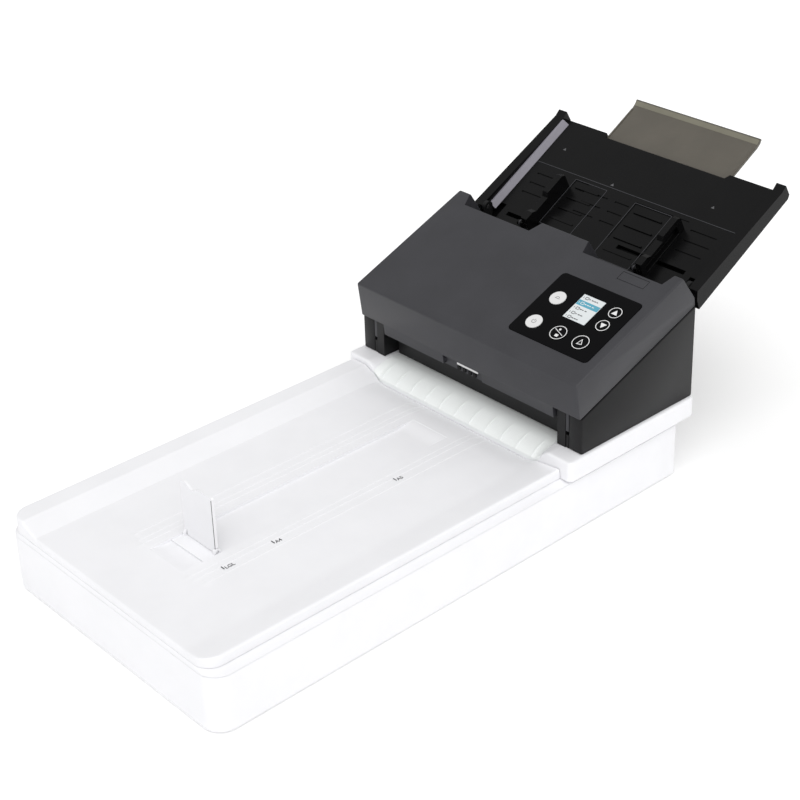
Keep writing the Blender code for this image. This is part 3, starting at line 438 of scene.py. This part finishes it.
def shell(rows, columns, top, under):
    """A closed shell between two height fields; columns(y) gives the stations across at y."""
    bm = bmesh.new()
    upper, lower = [], []
    for y in rows:
        upper.append([bm.verts.new((x, y, top(x, y))) for x in columns(y)])
        lower.append([bm.verts.new((x, y, under(x, y))) for x in columns(y)])
    for grid, flip in ((upper, False), (lower, True)):
        for a, b in zip(grid, grid[1:]):
            for i in range(len(a) - 1):
                corners = (a[i], a[i + 1], b[i + 1], b[i])
                bm.faces.new(corners[::-1] if flip else corners)
    for a, b, c, d in zip(upper, upper[1:], lower, lower[1:]):
        bm.faces.new((a[0], b[0], d[0], c[0]))
        bm.faces.new((b[-1], a[-1], c[-1], d[-1]))
    for high, low in ((upper[0], lower[0]), (upper[-1], lower[-1])):
        for i in range(len(high) - 1):
            bm.faces.new((high[i], high[i + 1], low[i + 1], low[i]))
    bmesh.ops.remove_doubles(bm, verts=bm.verts, dist=0.002)
    return bm


def output_tray():
    """The lid as one moulded shell: a height field on top and a stepped underside."""
    edge, inner = lid_columns()

    def columns(y):
        left, right = lid_edges(y)
        squeeze = (LID_MARGIN - (left - LID_X[0])) / LID_MARGIN
        xs = [left + d * squeeze for d in edge] + inner + [right - d * squeeze for d in edge]
        return sorted(xs)

    def top(x, y):
        return channel_floor(y) if in_channel(x, y) else lid_height(x, y)

    def under(x, y):
        left, right = lid_edges(y)
        margin = min(x - left, right - x, y - LID_Y[0], LID_Y[1] - y)
        return LID_RIM_UNDER if margin < 7 else LID_UNDER

    bm = shell(lid_rows(), columns, top, under)
    lid = finish_piece("output_tray", bm, "lid", "white_plastic", sharp=17)
    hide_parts("lid_shell")


# ---------------------------------------------------------------- plinth and ramp

RAMP_LINE = (
    (424.5, 71.0), (429, 74.9), (434, 77.8), (439, 80.1), (444, 81.8), (452, 83.2), (470, 84.0)
)
PLINTH_X, PLINTH_Y, PLINTH_Z = 162.0, (424.3, 609.0), 85.0
PLINTH_CORNER, PLINTH_EDGE = 5.0, 2.6
SHOULDER_X, SHOULDER_WIDTH = 112.0, 21.0
RIB_PITCH, RIB_COUNT, RIB_HEIGHT = 22.0, 11, 1.25


def ramp_line(y):
    """The ramp's height at y, between the stations of its profile."""
    for (y0, z0), (y1, z1) in zip(RAMP_LINE, RAMP_LINE[1:]):
        if y <= y1:
            return z0 + (z1 - z0) * max(0.0, y - y0) / (y1 - y0)
    return RAMP_LINE[-1][1]


def shoulder(x, y):
    """The ramp's surface, rising in an S-curve into the plinth at either side."""
    low = ramp_line(y)
    return low + (PLINTH_Z - low) * ease((abs(x) - SHOULDER_X) / SHOULDER_WIDTH)


def rib(x, y):
    """A low rib every so often across the ramp, tallest at the ramp's foot and gone by its top."""
    nearest = RIB_PITCH * round(x / RIB_PITCH)
    if abs(nearest) > RIB_COUNT // 2 * RIB_PITCH:
        return 0.0
    away = x - nearest
    side = 1 - away / 0.7 if away >= 0 else 1 + away / 4.0
    return RIB_HEIGHT * max(0.0, side) * ease((449 - y) / 20) * ease((y - 423) / 3)


def exit_slope():
    """The ramp as a smooth moulded face with tapering ribs."""
    across = spread(-121.8, -112, 1.4) + spread(112, 121.8, 1.4)
    for i in range(-(RIB_COUNT // 2), RIB_COUNT // 2 + 1):
        across += [i * RIB_PITCH + d for d in (-4.0, -2.0, -0.2, 0.0, 0.35, 0.7)]
    across = sorted(across)
    rows = [424.55, 425, 425.8] + spread(427, 452, 2.1) + [458, 469]
    bm = shell(
        rows, lambda y: across, lambda x, y: shoulder(x, y) + rib(x, y), lambda x, y: shoulder(x, y) - 4
    )
    # Its lighter white is partly painted light for how brightly the ramp is lit.
    ramp = finish_piece("exit_slope", bm, "base", "ramp_plastic", sharp=24)
    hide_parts("exit_ramp")


def plinth():
    """The plinth under the feeder, with soft upper edges and shoulders down to the ramp."""
    edge = [0, 0.2, 0.7, 1.5, 2.6, 5.0, 10.0, 18.0]

    def half(y):
        near = min(y - PLINTH_Y[0], PLINTH_Y[1] - y)
        ahead = PLINTH_CORNER - near
        if ahead <= 0:
            return PLINTH_X
        return PLINTH_X - (PLINTH_CORNER - math.sqrt(max(0.0, PLINTH_CORNER**2 - ahead**2)))

    def columns(y):
        reach = half(y)
        xs = [reach - d * (reach - 142) / 20 for d in edge] + spread(112, 142, 1.5) + [60, 90, 104]
        return sorted([-x for x in xs] + [0] + xs)

    def top(x, y):
        margin = min(half(y) - abs(x), y - PLINTH_Y[0], PLINTH_Y[1] - y)
        sunk = 2.0 if abs(x) < 121.9 and y < 468 else 0.0
        return shoulder(x, y) - sunk - rounding(margin, PLINTH_EDGE)

    ahead = (0, 0.2, 0.7, 1.5, 2.6, 5, 8, 11, 14, 17, 20, 24, 28, 34, 43.6, 43.8)
    rows = [PLINTH_Y[0] + d for d in ahead]
    rows += [500, 560] + [PLINTH_Y[1] - d for d in (18, 5, 2.6, 1.5, 0.7, 0.2, 0)]
    bm = shell(rows, columns, top, lambda x, y: 64.3)
    base = finish_piece("plinth", bm, "base", "white_plastic", sharp=30)
    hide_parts("adf_plinth")


def paper_marks():
    """Ticks and paper sizes beside the channel, as thin printed ink."""
    marks = {"LGL": 97.0, "A4": 154.0, "A5": 303.0}
    for size, y in marks.items():
        tick = outline_mesh([round_rect((43.4, 48.6), (y - 0.55, y + 0.55), 0.2, 2)], "XY", (0, 0.06))
        place = Matrix.Translation((0, 0, FLOOR_Z + 0.26))
        finish_piece(f"mark_{size}", tick, "lid", "ink_grey", place)
        curve = bpy.data.curves.new("size", "FONT")
        curve.body = size
        curve.size = 6.0
        curve.offset = 0.12
        curve.extrude = 0.03
        label = bpy.data.objects.new("size", curve)
        bpy.context.scene.collection.objects.link(label)
        depsgraph = bpy.context.evaluated_depsgraph_get()
        mesh = bpy.data.meshes.new_from_object(label.evaluated_get(depsgraph))
        bm = bmesh.new()
        bm.from_mesh(mesh)
        place = Matrix.Translation((49.4, y + 1.6, FLOOR_Z + 0.07)) @ Matrix.Rotation(math.pi / 2, 4, "Z")
        finish_piece(f"size_{size}", bm, "lid", "ink_grey", place)
        bpy.data.objects.remove(label)
        bpy.data.curves.remove(curve)
        bpy.data.meshes.remove(mesh)


def stopper_line():
    """A thin dark strip along one side of the paper stop's face."""
    bm = outline_mesh([[(22.3, 73.5), (22.8, 73.5), (22.8, 126.6), (22.3, 126.6)]], "XZ", (106.5, 106.72))
    finish_piece("stopper_dark_strip", bm, "stopper_plate", "slate_plastic")


# ---------------------------------------------------------------- base

BASE_HALF, BASE_LENGTH = 159.0, 590.0
FRONT_RADIUS, REAR_RADIUS = 20, 8
GLASS_X, GLASS_Y, LEDGE = (-117.0, 117.0), (56.0, 372.0), 6.0
ROD_X, ROD_Z = -60, 26

def ring(bm, x, y, front, rear, z, steps=14):
    """One loop of a rounded rectangle, front and rear corners having their own radii."""
    corners = (
        (x[0] + front, y[0] + front, front, 180),
        (x[1] - front, y[0] + front, front, 270),
        (x[1] - rear, y[1] - rear, rear, 0),
        (x[0] + rear, y[1] - rear, rear, 90),
    )
    points = []
    for cx, cy, radius, start in corners:
        points += arc((cx, cy), radius, start, start + 90, steps)
    return [bm.verts.new((px, py, z)) for px, py in points]


def bridge(bm, a, b):
    for i in range(len(a)):
        j = (i + 1) % len(a)
        bm.faces.new((a[i], a[j], b[j], b[i]))


def base_tub():
    """The base's outer tub, with round corners, a soft bottom edge and an open top."""
    bm = bmesh.new()
    half, length = BASE_HALF, BASE_LENGTH
    outer = ((2.0, 2.5), (2.3, 1.5), (3.2, 0.5), (4.5, 0.0), (59.6, 0.0), (60.0, 0.2), (60.2, 0.6))
    inner = ((60.2, 2.2), (5.0, 2.5))
    loops = []
    for z, inset in outer + inner:
        x, y = (inset - half, half - inset), (inset, length - inset)
        loops.append(ring(bm, x, y, FRONT_RADIUS - inset, REAR_RADIUS - inset, z))
    for a, b in zip(loops, loops[1:]):
        bridge(bm, a, b)
    bm.faces.new(loops[0][::-1])
    bm.faces.new(loops[-1])
    tub = finish_piece("base_tub", bm, "base", "white_plastic")
    for name in ("power_inlet", "usb_port"):
        low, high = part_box(name)
        size = [(high[0] - low[0]) / MM + 0.6, 20, (high[2] - low[2]) / MM + 0.6]
        middle = ((low[0] + high[0]) / 2 / MM, length, (low[2] + high[2]) / 2 / MM)
        opening = bmesh.new()
        matrix = ORIGIN @ Matrix.Translation(middle) @ Matrix.Diagonal((*size, 1))
        bmesh.ops.create_cube(opening, size=1, matrix=matrix)
        cut_from(tub, opening)
    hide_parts("base_housing")
    rails()


def cut_from(obj, tool_mesh):
    mesh = bpy.data.meshes.new("tool")
    tool_mesh.to_mesh(mesh)
    tool_mesh.free()
    tool = bpy.data.objects.new("tool", mesh)
    bpy.context.scene.collection.objects.link(tool)
    modifier = obj.modifiers.new("cut", "BOOLEAN")
    modifier.operation = "DIFFERENCE"
    modifier.object = tool
    apply_modifiers(obj)
    bpy.data.objects.remove(tool)
    bpy.data.meshes.remove(mesh)


def rails():
    """The rod's two supports and the idler's post, which stand on the tub's floor."""
    for name, y in (("rod_support_front", 32.0), ("rod_support_rear", 408.0)):
        outline = [(ROD_X - 8, 5.1), (ROD_X + 8, 5.1), (ROD_X + 8, 30)]
        outline += arc((ROD_X, 30), 8, 0, 180, 12)
        hole = arc((ROD_X, ROD_Z), 3.3, 0, 345, 23)
        bm = outline_mesh([outline, hole], "XZ", (y, y + 8))
        bevel(finish_piece(name, bm, "base", "white_plastic"), 0.4, 2)
    bm = outline_mesh([arc((40, 44), 6, 0, 350, 35)], "XY", (5.1, 17.5))
    bevel(finish_piece("idler_post", bm, "base", "white_plastic"), 0.5, 2)


def glass_bezel():
    """The bezel: a shoulder that is wide on the right and fades to a lip round the front."""
    bm = bmesh.new()
    half, length = BASE_HALF, BASE_LENGTH
    loops = []
    for z, inset in ((60.5, 0.3), (60.9, 0.0), (61.4, 0.1)):
        x, y = (inset - half, half - inset), (inset, length - inset)
        loops.append(ring(bm, x, y, FRONT_RADIUS, REAR_RADIUS, z))
    for z, right, left, front in ((63.4, 8.5, 3.2, 1.5), (63.85, 10.2, 3.9, 1.9), (64.0, 11.5, 4.6, 2.4)):
        x, y = (left - half, half - right), (front, length - 3)
        loops.append(ring(bm, x, y, FRONT_RADIUS - 1, REAR_RADIUS - 1, z))
    opening = ((0, 1.0, 64.0), (0, 1.0, 60.5), (LEDGE, 1.0, 60.5), (LEDGE, 1.0, 57.5))
    for inset, radius, z in opening + ((-5, 2.0, 57.5), (-5, 2.0, 60.5)):
        x, y = (GLASS_X[0] + inset, GLASS_X[1] - inset), (GLASS_Y[0] + inset, GLASS_Y[1] - inset)
        loops.append(ring(bm, x, y, radius, radius, z))
    for a, b in zip(loops, loops[1:] + loops[:1]):
        bridge(bm, a, b)
    bezel = finish_piece("glass_bezel", bm, "base", "white_plastic")
    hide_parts("base_top_frame")
    for name, y in (("lid_knuckle_front", 62.0), ("lid_knuckle_rear", 352.0)):
        outline = [(-147.4, 64.02), (-147.4, 68.6)] + arc((-150.7, 68.6), 3.3, 0, 180, 14) + [(-154, 64.02)]
        bm = outline_mesh([outline], "XZ", (y, y + 8))
        bevel(finish_piece(name, bm, "base", "white_plastic"), 0.3, 2)


# ---------------------------------------------------------------- tray extension

EXTENSION_X = (-86.2, 86.2)
EXTENSION_RIB_X = 84.6

def smoked_extension():
    """The pull-out sheet support: a smoked plate with a curled finger lip, its edge and two ribs; the lip
    carries a lighter band as a painted highlight.
    """
    under = [(95, 1.0), (203, 1.0), (208.6, 2.2), (211.2, 4.2), (211.9, 6.4)]
    over = [(211.4, 6.9), (210.2, 6.7), (208.4, 5.4), (205.4, 4.3), (201.6, 3.4), (95, 3.4)]
    bm = outline_mesh([under + over], "YZ", EXTENSION_X)
    plate = finish_piece("smoked_extension", bm, "extension", "smoked_plastic", TRAY, sharp=25)
    bevel(plate, 0.25, 3, 40)
    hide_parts("tray_extension")
    # A lighter band on the lip's rising face: a painted highlight where the curl catches the light.
    lip = [(205.0, 4.25), (205.2, 4.45), (208.3, 5.6), (210.1, 6.85), (210.2, 6.72), (208.4, 5.42)]
    lip_highlight_mesh = outline_mesh([lip], "YZ", (-85.4, 85.4))
    finish_piece("extension_lip_highlight", lip_highlight_mesh, "extension", "smoked_lip_highlight", TRAY, 60)
    edge = [(211.2, 6.93), (211.95, 6.5), (211.99, 4.5), (211.3, 4.25), (211.86, 6.2)]
    edge_mesh = outline_mesh([edge], "YZ", EXTENSION_X)
    finish_piece("extension_edge", edge_mesh, "extension", "tray_plastic", TRAY)
    for side in (-1, 1):
        middle = side * EXTENSION_RIB_X
        rail = outline_mesh([round_rect((middle - 1.0, middle + 1.0), (152, 200), 0.9)], "XY", (3.45, 4.2))
        name = "extension_rib_left" if side < 0 else "extension_rib_right"
        finish_piece(name, rail, "extension", "smoked_plastic", TRAY)


# ---------------------------------------------------------------- control panel

KEY_TOP = 1.1
KEYS = {
    "wake_button": (60.0, 83.5, 8.9),
    "power_button": (60.0, 47.0, 8.9),
    "mode_button": (93.6, 46.2, 9.5),
    "scan_button": (122.6, 46.5, 9.5),
    "up_button": (127.5, 93.7, 7.7),
    "down_button": (127.4, 74.3, 7.7),
}


def band(centre, radius, width, start, stop, steps):
    """A flat arc of ink: its outline out along one side and back along the other."""
    outer = arc(centre, radius + width / 2, start, stop, steps)
    return outer + arc(centre, radius - width / 2, stop, start, steps)


def ink(name, outlines, body, finish, height, depth=0.08):
    bm = outline_mesh(outlines, "XY", (0, depth))
    place = COVER @ Matrix.Translation((0, 0, height))
    return finish_piece(name, bm, body, finish, place)


def line(a, b, width):
    """A straight stroke from a to b as a four-cornered outline."""
    run = Vector((b[0] - a[0], b[1] - a[1])).normalized() * width / 2
    return [
        (a[0] + run.y, a[1] - run.x),
        (b[0] + run.y, b[1] - run.x),
        (b[0] - run.y, b[1] + run.x),
        (a[0] - run.y, a[1] + run.x),
    ]


def key_ink(key, name, outlines, finish="ink_white"):
    """Ink on a key's top: white on the black keys, grey on the white ones."""
    ink(name, outlines, key, finish, KEY_TOP)


def key_icons():
    """Rings and generic symbols printed on the keys."""
    for key in ("mode_button", "scan_button", "up_button", "down_button"):
        x, v, radius = KEYS[key]
        circle = [arc((x, v), radius - 0.5, 0, 355, 71), arc((x, v), radius - 1.25, 0, 355, 71)]
        key_ink(key, key + "_ring", circle)
    for key, rise in (("up_button", 1), ("down_button", -1)):
        x, v, _ = KEYS[key]
        triangle = [(x - 3.6, v - 2.6 * rise), (x + 3.6, v - 2.6 * rise), (x, v + 3.6 * rise)]
        key_ink(key, key + "_arrow", [triangle])
    x, v, _ = KEYS["scan_button"]
    outer = [(x - 3.0, v - 3.8), (x + 3.4, v - 2.4), (x - 0.6, v + 4.4)]
    cx, cy = (sum(point[i] for point in outer) / 3 for i in (0, 1))
    inner = [(cx + (px - cx) * 0.66, cy + (py - cy) * 0.66) for px, py in outer]
    key_ink("scan_button", "scan_button_arrow", [outer, inner])
    x, v, _ = KEYS["mode_button"]
    key_ink("mode_button", "mode_slash", [line((x - 6.4, v + 3.2), (x + 6.4, v - 1.6), 0.7)])
    sheet = [(x - 1.2, v - 5.4), (x + 2.6, v - 5.4), (x + 2.6, v - 2.2), (x - 1.2, v - 2.2)]
    key_ink("mode_button", "mode_sheet", [sheet])
    key_ink("mode_button", "mode_dot", [arc((x - 1.0, v + 4.2), 1.3, 0, 340, 17)])
    x, v, _ = KEYS["power_button"]
    key_ink("power_button", "power_arc", [band((x, v), 2.3, 0.5, 125, 415, 24)], "ink_grey")
    key_ink("power_button", "power_bar", [line((x, v + 0.6), (x, v + 3.2), 0.5)], "ink_grey")
    x, v, _ = KEYS["wake_button"]
    key_ink("wake_button", "wake_arc", [band((x, v - 0.6), 2.0, 0.45, 10, 170, 16)], "ink_grey")
    key_ink("wake_button", "wake_line", [line((x - 3, v - 1.0), (x + 3, v - 1.0), 0.45)], "ink_grey")


def screen_graphics():
    """A lit menu: a white field, one blue band and rows of generic icons and strokes."""
    x, v, height = (81.6, 109.4), (66.6, 100.4), 0.36
    width, tall = x[1] - x[0], v[1] - v[0]
    ink("screen_field", [round_rect(x, v, 0.5)], "cover", "screen_white", height)
    rows = [v[1] - tall * f for f in (0.11, 0.33, 0.55, 0.75, 0.93)]
    blue = round_rect((x[0] + 0.1, x[1] - 0.1), (rows[1] - 3.4, rows[1] + 3.4), 0.3)
    ink("screen_band", [blue], "cover", "screen_blue", height + 0.09)
    for i, row in enumerate(rows):
        tone = "screen_white" if i == 1 else "ink_grey"
        left = x[0] + 2.2
        box = [round_rect((left + 2.2, left + 6.4), (row - 1.7, row + 1.7), 0.8)]
        box.append(round_rect((left + 2.8, left + 5.8), (row - 1.1, row + 1.1), 0.5))
        ink(f"screen_icon_{i}", box, "cover", tone, height + 0.18)
        tick = line((left, row - 1), (left, row + 1), 0.5)
        ink(f"screen_tick_{i}", [tick], "cover", tone, height + 0.18)
        for k, start in enumerate((9.4, 12.6, 15.8, 19.0)):
            stop = start + (2.4 if (i + k) % 3 else 1.6)
            if x[0] + stop > x[1] - 1 or (i > 1 and k == 3):
                continue
            stroke = line((x[0] + start, row), (x[0] + stop, row), 1.1)
            ink(f"screen_word_{i}_{k}", [stroke], "cover", tone, height + 0.18)


# ---------------------------------------------------------------- feeder details

def exit_window():
    """The paper sensor behind a notch in the cover's lip: a dark bracket and a bright window."""
    bracket = outline_mesh([round_rect((-34, 22), (112.2, 122.4), 0.8)], "XZ", (445.6, 446.2))
    finish_piece("sensor_bracket", bracket, "cover", "slate_plastic")
    strip = [(-13, 119.6), (17, 119.6), (17, 122.4), (-13, 122.4)]
    finish_piece("sensor_window", outline_mesh([strip], "XZ", (443.2, 444.2)), "cover", "ink_white")
    for i, x in enumerate((-12.0, -4.0, 4.0, 11.0)):
        bm = outline_mesh([round_rect((x - 2, x + 2), (113.2, 117.2), 0.5)], "XZ", (444.4, 445.5))
        finish_piece(f"sensor_rib_{i}", bm, "cover", "tray_plastic")


def leg_fillers():
    """The cheeks' front walls under the cover's arms, which close the arms' slots from view."""
    for name, side in (("left", -1), ("right", 1)):
        x = sorted((side * 137.05, side * 140.65))
        bm = outline_mesh([round_rect(x, (444.6, 461), 0.3, 2)], "XY", (85.5, 99.6))
        finish_piece(f"leg_filler_{name}", bm, "base", "black_plastic")


def tray_details():
    """The tray's belly pan under its slots, left rail with a painted reflection, step with a painted
    highlight, marks, guide bosses and panels.
    """
    pan = outline_mesh([round_rect((-145.9, 145.9), (0.6, 94), 0.5)], "XY", (0.1, 0.7))
    finish_piece("tray_belly", pan, "tray", "tray_plastic", TRAY)
    # The left rail's sloping inner face, coloured lilac-grey: a painted reflection of the bright room on
    # the black tray.
    slope = [(-145.9, 8.1), (-138.5, 8.1), (-143.6, 14.2), (-145.9, 14.2)]
    rail = outline_mesh([slope], "XZ", (16, 150))
    bevel(finish_piece("rail_reflection_strip", rail, "tray", "rail_reflection_grey", TRAY), 0.2, 2)
    # A thin raised line across the tray in lighter slate: a painted highlight along the step where the
    # plate's lower half is recessed.
    step = outline_mesh([round_rect((-137, 140), (91.4, 92.2), 0.3, 2)], "XY", (8.02, 8.35))
    finish_piece("tray_step_highlight", step, "tray", "slate_plastic", TRAY)
    for i, (x, u) in enumerate(((-118, 118), (-30, 96), (96, 112))):
        mark = [(x - 2.2, u - 1.6), (x + 2.2, u - 1.6), (x, u + 1.8)]
        finish_piece(f"tray_mark_{i}", outline_mesh([mark], "XY", (8.02, 8.1)), "tray", "ink_grey", TRAY)
    for name, body, x in (("left", "guide_left", -95.0), ("right", "guide_right", 67.0)):
        boss = outline_mesh([arc((9, 12.4), 3.0, 0, 345, 23)], "YZ", (x, x + 7.5))
        bevel(finish_piece(f"guide_boss_{name}", boss, body, "tray_plastic", TRAY), 0.6, 3)
        collar = outline_mesh([arc((9, 12.4), 3.5, 0, 345, 23)], "YZ", (x + 2.6, x + 4.6))
        bevel(finish_piece(f"guide_collar_{name}", collar, body, "slate_plastic", TRAY), 0.4, 2)
    panels = (((-76, -30), (20, 87)), ((11, 62), (6, 85)))
    for i, (x, u) in enumerate(panels):
        opening = round_rect((x[0] + 0.7, x[1] - 0.7), (u[0] + 0.7, u[1] - 0.7), 1)
        bm = outline_mesh([round_rect(x, u, 1.5), opening], "XY", (8.02, 8.3))
        finish_piece(f"tray_panel_{i}", bm, "tray", "slate_plastic", TRAY)
        for k in range(4):
            v = u[0] + (u[1] - u[0]) * (k + 0.7) / 4.4
            bar = outline_mesh([round_rect((x[0] + 6, x[1] - 6), (v, v + 2.2), 0.8)], "XY", (8.02, 8.7))
            finish_piece(f"tray_rib_{i}_{k}", bar, "tray", "tray_plastic", TRAY)


def cover_notch(cover):
    """The opening in the cover's front edge over the exit."""
    notch = bmesh.new()
    matrix = ORIGIN @ Matrix.Translation((-4, 440, 117)) @ Matrix.Diagonal((56, 20, 13, 1))
    bmesh.ops.create_cube(notch, size=1, matrix=matrix)
    cut_from(cover, notch)


OWN_PIECE = {"lid_shell", "base_housing", "base_top_frame", "tray_extension", "adf_plinth", "exit_ramp"}
EDGE_RADIUS = {"cover_shell": 0.5, "input_tray": 0.45, "lcd_display": 0, "panel_bezel": 0}
SLOT_RADIUS = {"glass": 0.25, "rubber": 0.25}
PLAIN_RADIUS = 0.3


def dress_frame():
    """Materials and edge radii for every CAD node that no piece of its own replaces."""
    shading = moulded_shading()
    cover_notch(refined_copy("cover_shell", EDGE_RADIUS["cover_shell"], shading))
    for node in sorted(set(frame["nodes"]) - OWN_PIECE - {"cover_shell"}):
        width = EDGE_RADIUS.get(node, SLOT_RADIUS.get(node_slot(node), PLAIN_RADIUS))
        dress_node(node, width, shading)


# ---------------------------------------------------------------- stage, light and camera

FLOOR_GLOW = 0.16
SUN_STRENGTH, SUN_SPREAD, SUN_WAY = 1.15, 50, (-0.42, 0.3, -1.0)
SKY_BRIGHT_WAY, SKY_RANGE, SKY_LEVELS = (1.0, -0.9, 0.0), 1.3, (0.5, 0.98)
CAMERA_AZIMUTH, CAMERA_ELEVATION, CAMERA_ROLL = 47.25, 27.10, -1.24
CAMERA_DISTANCE, CAMERA_TARGET = 2058.7, (-197.2, 591.5, 60.0)
CAMERA_LENS, CAMERA_SHIFT = 80.7885, (-0.05, -0.1115)


def floor_and_light():
    material, tree, shader = shader_nodes("pale_floor")
    where = add(tree, "ShaderNodeTexCoord")
    noise = add(tree, "ShaderNodeTexNoise", Scale=3.0, Detail=2.0)
    tree.links.new(where.outputs["Object"], noise.inputs["Vector"])
    tint = ramp_between(tree, noise.outputs["Fac"], (0.90, 0.90, 0.90), (0.93, 0.93, 0.93))
    tree.links.new(tint.outputs["Color"], shader.inputs["Base Color"])
    shader.inputs["Roughness"].default_value = 0.9
    bm = bmesh.new()
    bmesh.ops.create_grid(bm, x_segments=2, y_segments=2, size=12)
    mesh = bpy.data.meshes.new("floor")
    bm.to_mesh(mesh)
    bm.free()
    mesh.materials.append(material)
    floor = bpy.data.objects.new("floor", mesh)
    bpy.context.scene.collection.objects.link(floor)
    shader.inputs["Emission Color"].default_value = (1, 1, 1, 1)
    shader.inputs["Emission Strength"].default_value = FLOOR_GLOW
    studio_sky()
    lamp = bpy.data.lights.new("key", "SUN")
    lamp.angle = math.radians(SUN_SPREAD)
    lamp.energy = SUN_STRENGTH
    obj = bpy.data.objects.new("key", lamp)
    bpy.context.scene.collection.objects.link(obj)
    obj.rotation_euler = Vector(SUN_WAY).to_track_quat("-Z", "Y").to_euler()


def studio_sky():
    """A white tent round the table, brightest towards the scanner's right and front."""
    world = bpy.data.worlds.new("studio")
    bpy.context.scene.world = world
    world.use_nodes = True
    tree = world.node_tree
    where = add(tree, "ShaderNodeTexCoord")
    facing = add(tree, "ShaderNodeVectorMath", operation="DOT_PRODUCT")
    facing.inputs[1].default_value = SKY_BRIGHT_WAY
    level = add(tree, "ShaderNodeMapRange")
    level.inputs["From Min"].default_value = -SKY_RANGE
    level.inputs["From Max"].default_value = SKY_RANGE
    level.inputs["To Min"].default_value = SKY_LEVELS[0]
    level.inputs["To Max"].default_value = SKY_LEVELS[1]
    tree.links.new(where.outputs["Generated"], facing.inputs[0])
    tree.links.new(facing.outputs["Value"], level.inputs["Value"])
    tree.links.new(level.outputs["Result"], tree.nodes["Background"].inputs["Strength"])
    tree.nodes["Background"].inputs["Color"].default_value = (1, 1, 1, 1)


def camera():
    azimuth, elevation = math.radians(CAMERA_AZIMUTH), math.radians(CAMERA_ELEVATION)
    roll = math.radians(CAMERA_ROLL)
    back = Vector(
        (
            math.sin(azimuth) * math.cos(elevation),
            -math.cos(azimuth) * math.cos(elevation),
            math.sin(elevation),
        )
    )
    data = bpy.data.cameras.new("camera")
    data.sensor_width = 36.0
    data.lens = CAMERA_LENS
    data.shift_x, data.shift_y = CAMERA_SHIFT
    data.clip_end = 100
    obj = bpy.data.objects.new("camera", data)
    bpy.context.scene.collection.objects.link(obj)
    right = (-back).cross(Vector((0, 0, 1))).normalized()
    up = right.cross(-back)
    turned = right * math.cos(roll) + up * math.sin(roll)
    upright = up * math.cos(roll) - right * math.sin(roll)
    place = ORIGIN @ (Vector(CAMERA_TARGET) + back * CAMERA_DISTANCE)
    axes = Matrix((turned, upright, back)).transposed().to_4x4()
    obj.matrix_world = Matrix.Translation(place) @ axes
    bpy.context.scene.camera = obj


bpy.context.scene.view_settings.view_transform = "Standard"
camera()
floor_and_light()
base_tub()
glass_bezel()
output_tray()
exit_slope()
plinth()
paper_marks()
stopper_line()
smoked_extension()
key_icons()
screen_graphics()
exit_window()
leg_fillers()
tray_details()
dress_frame()
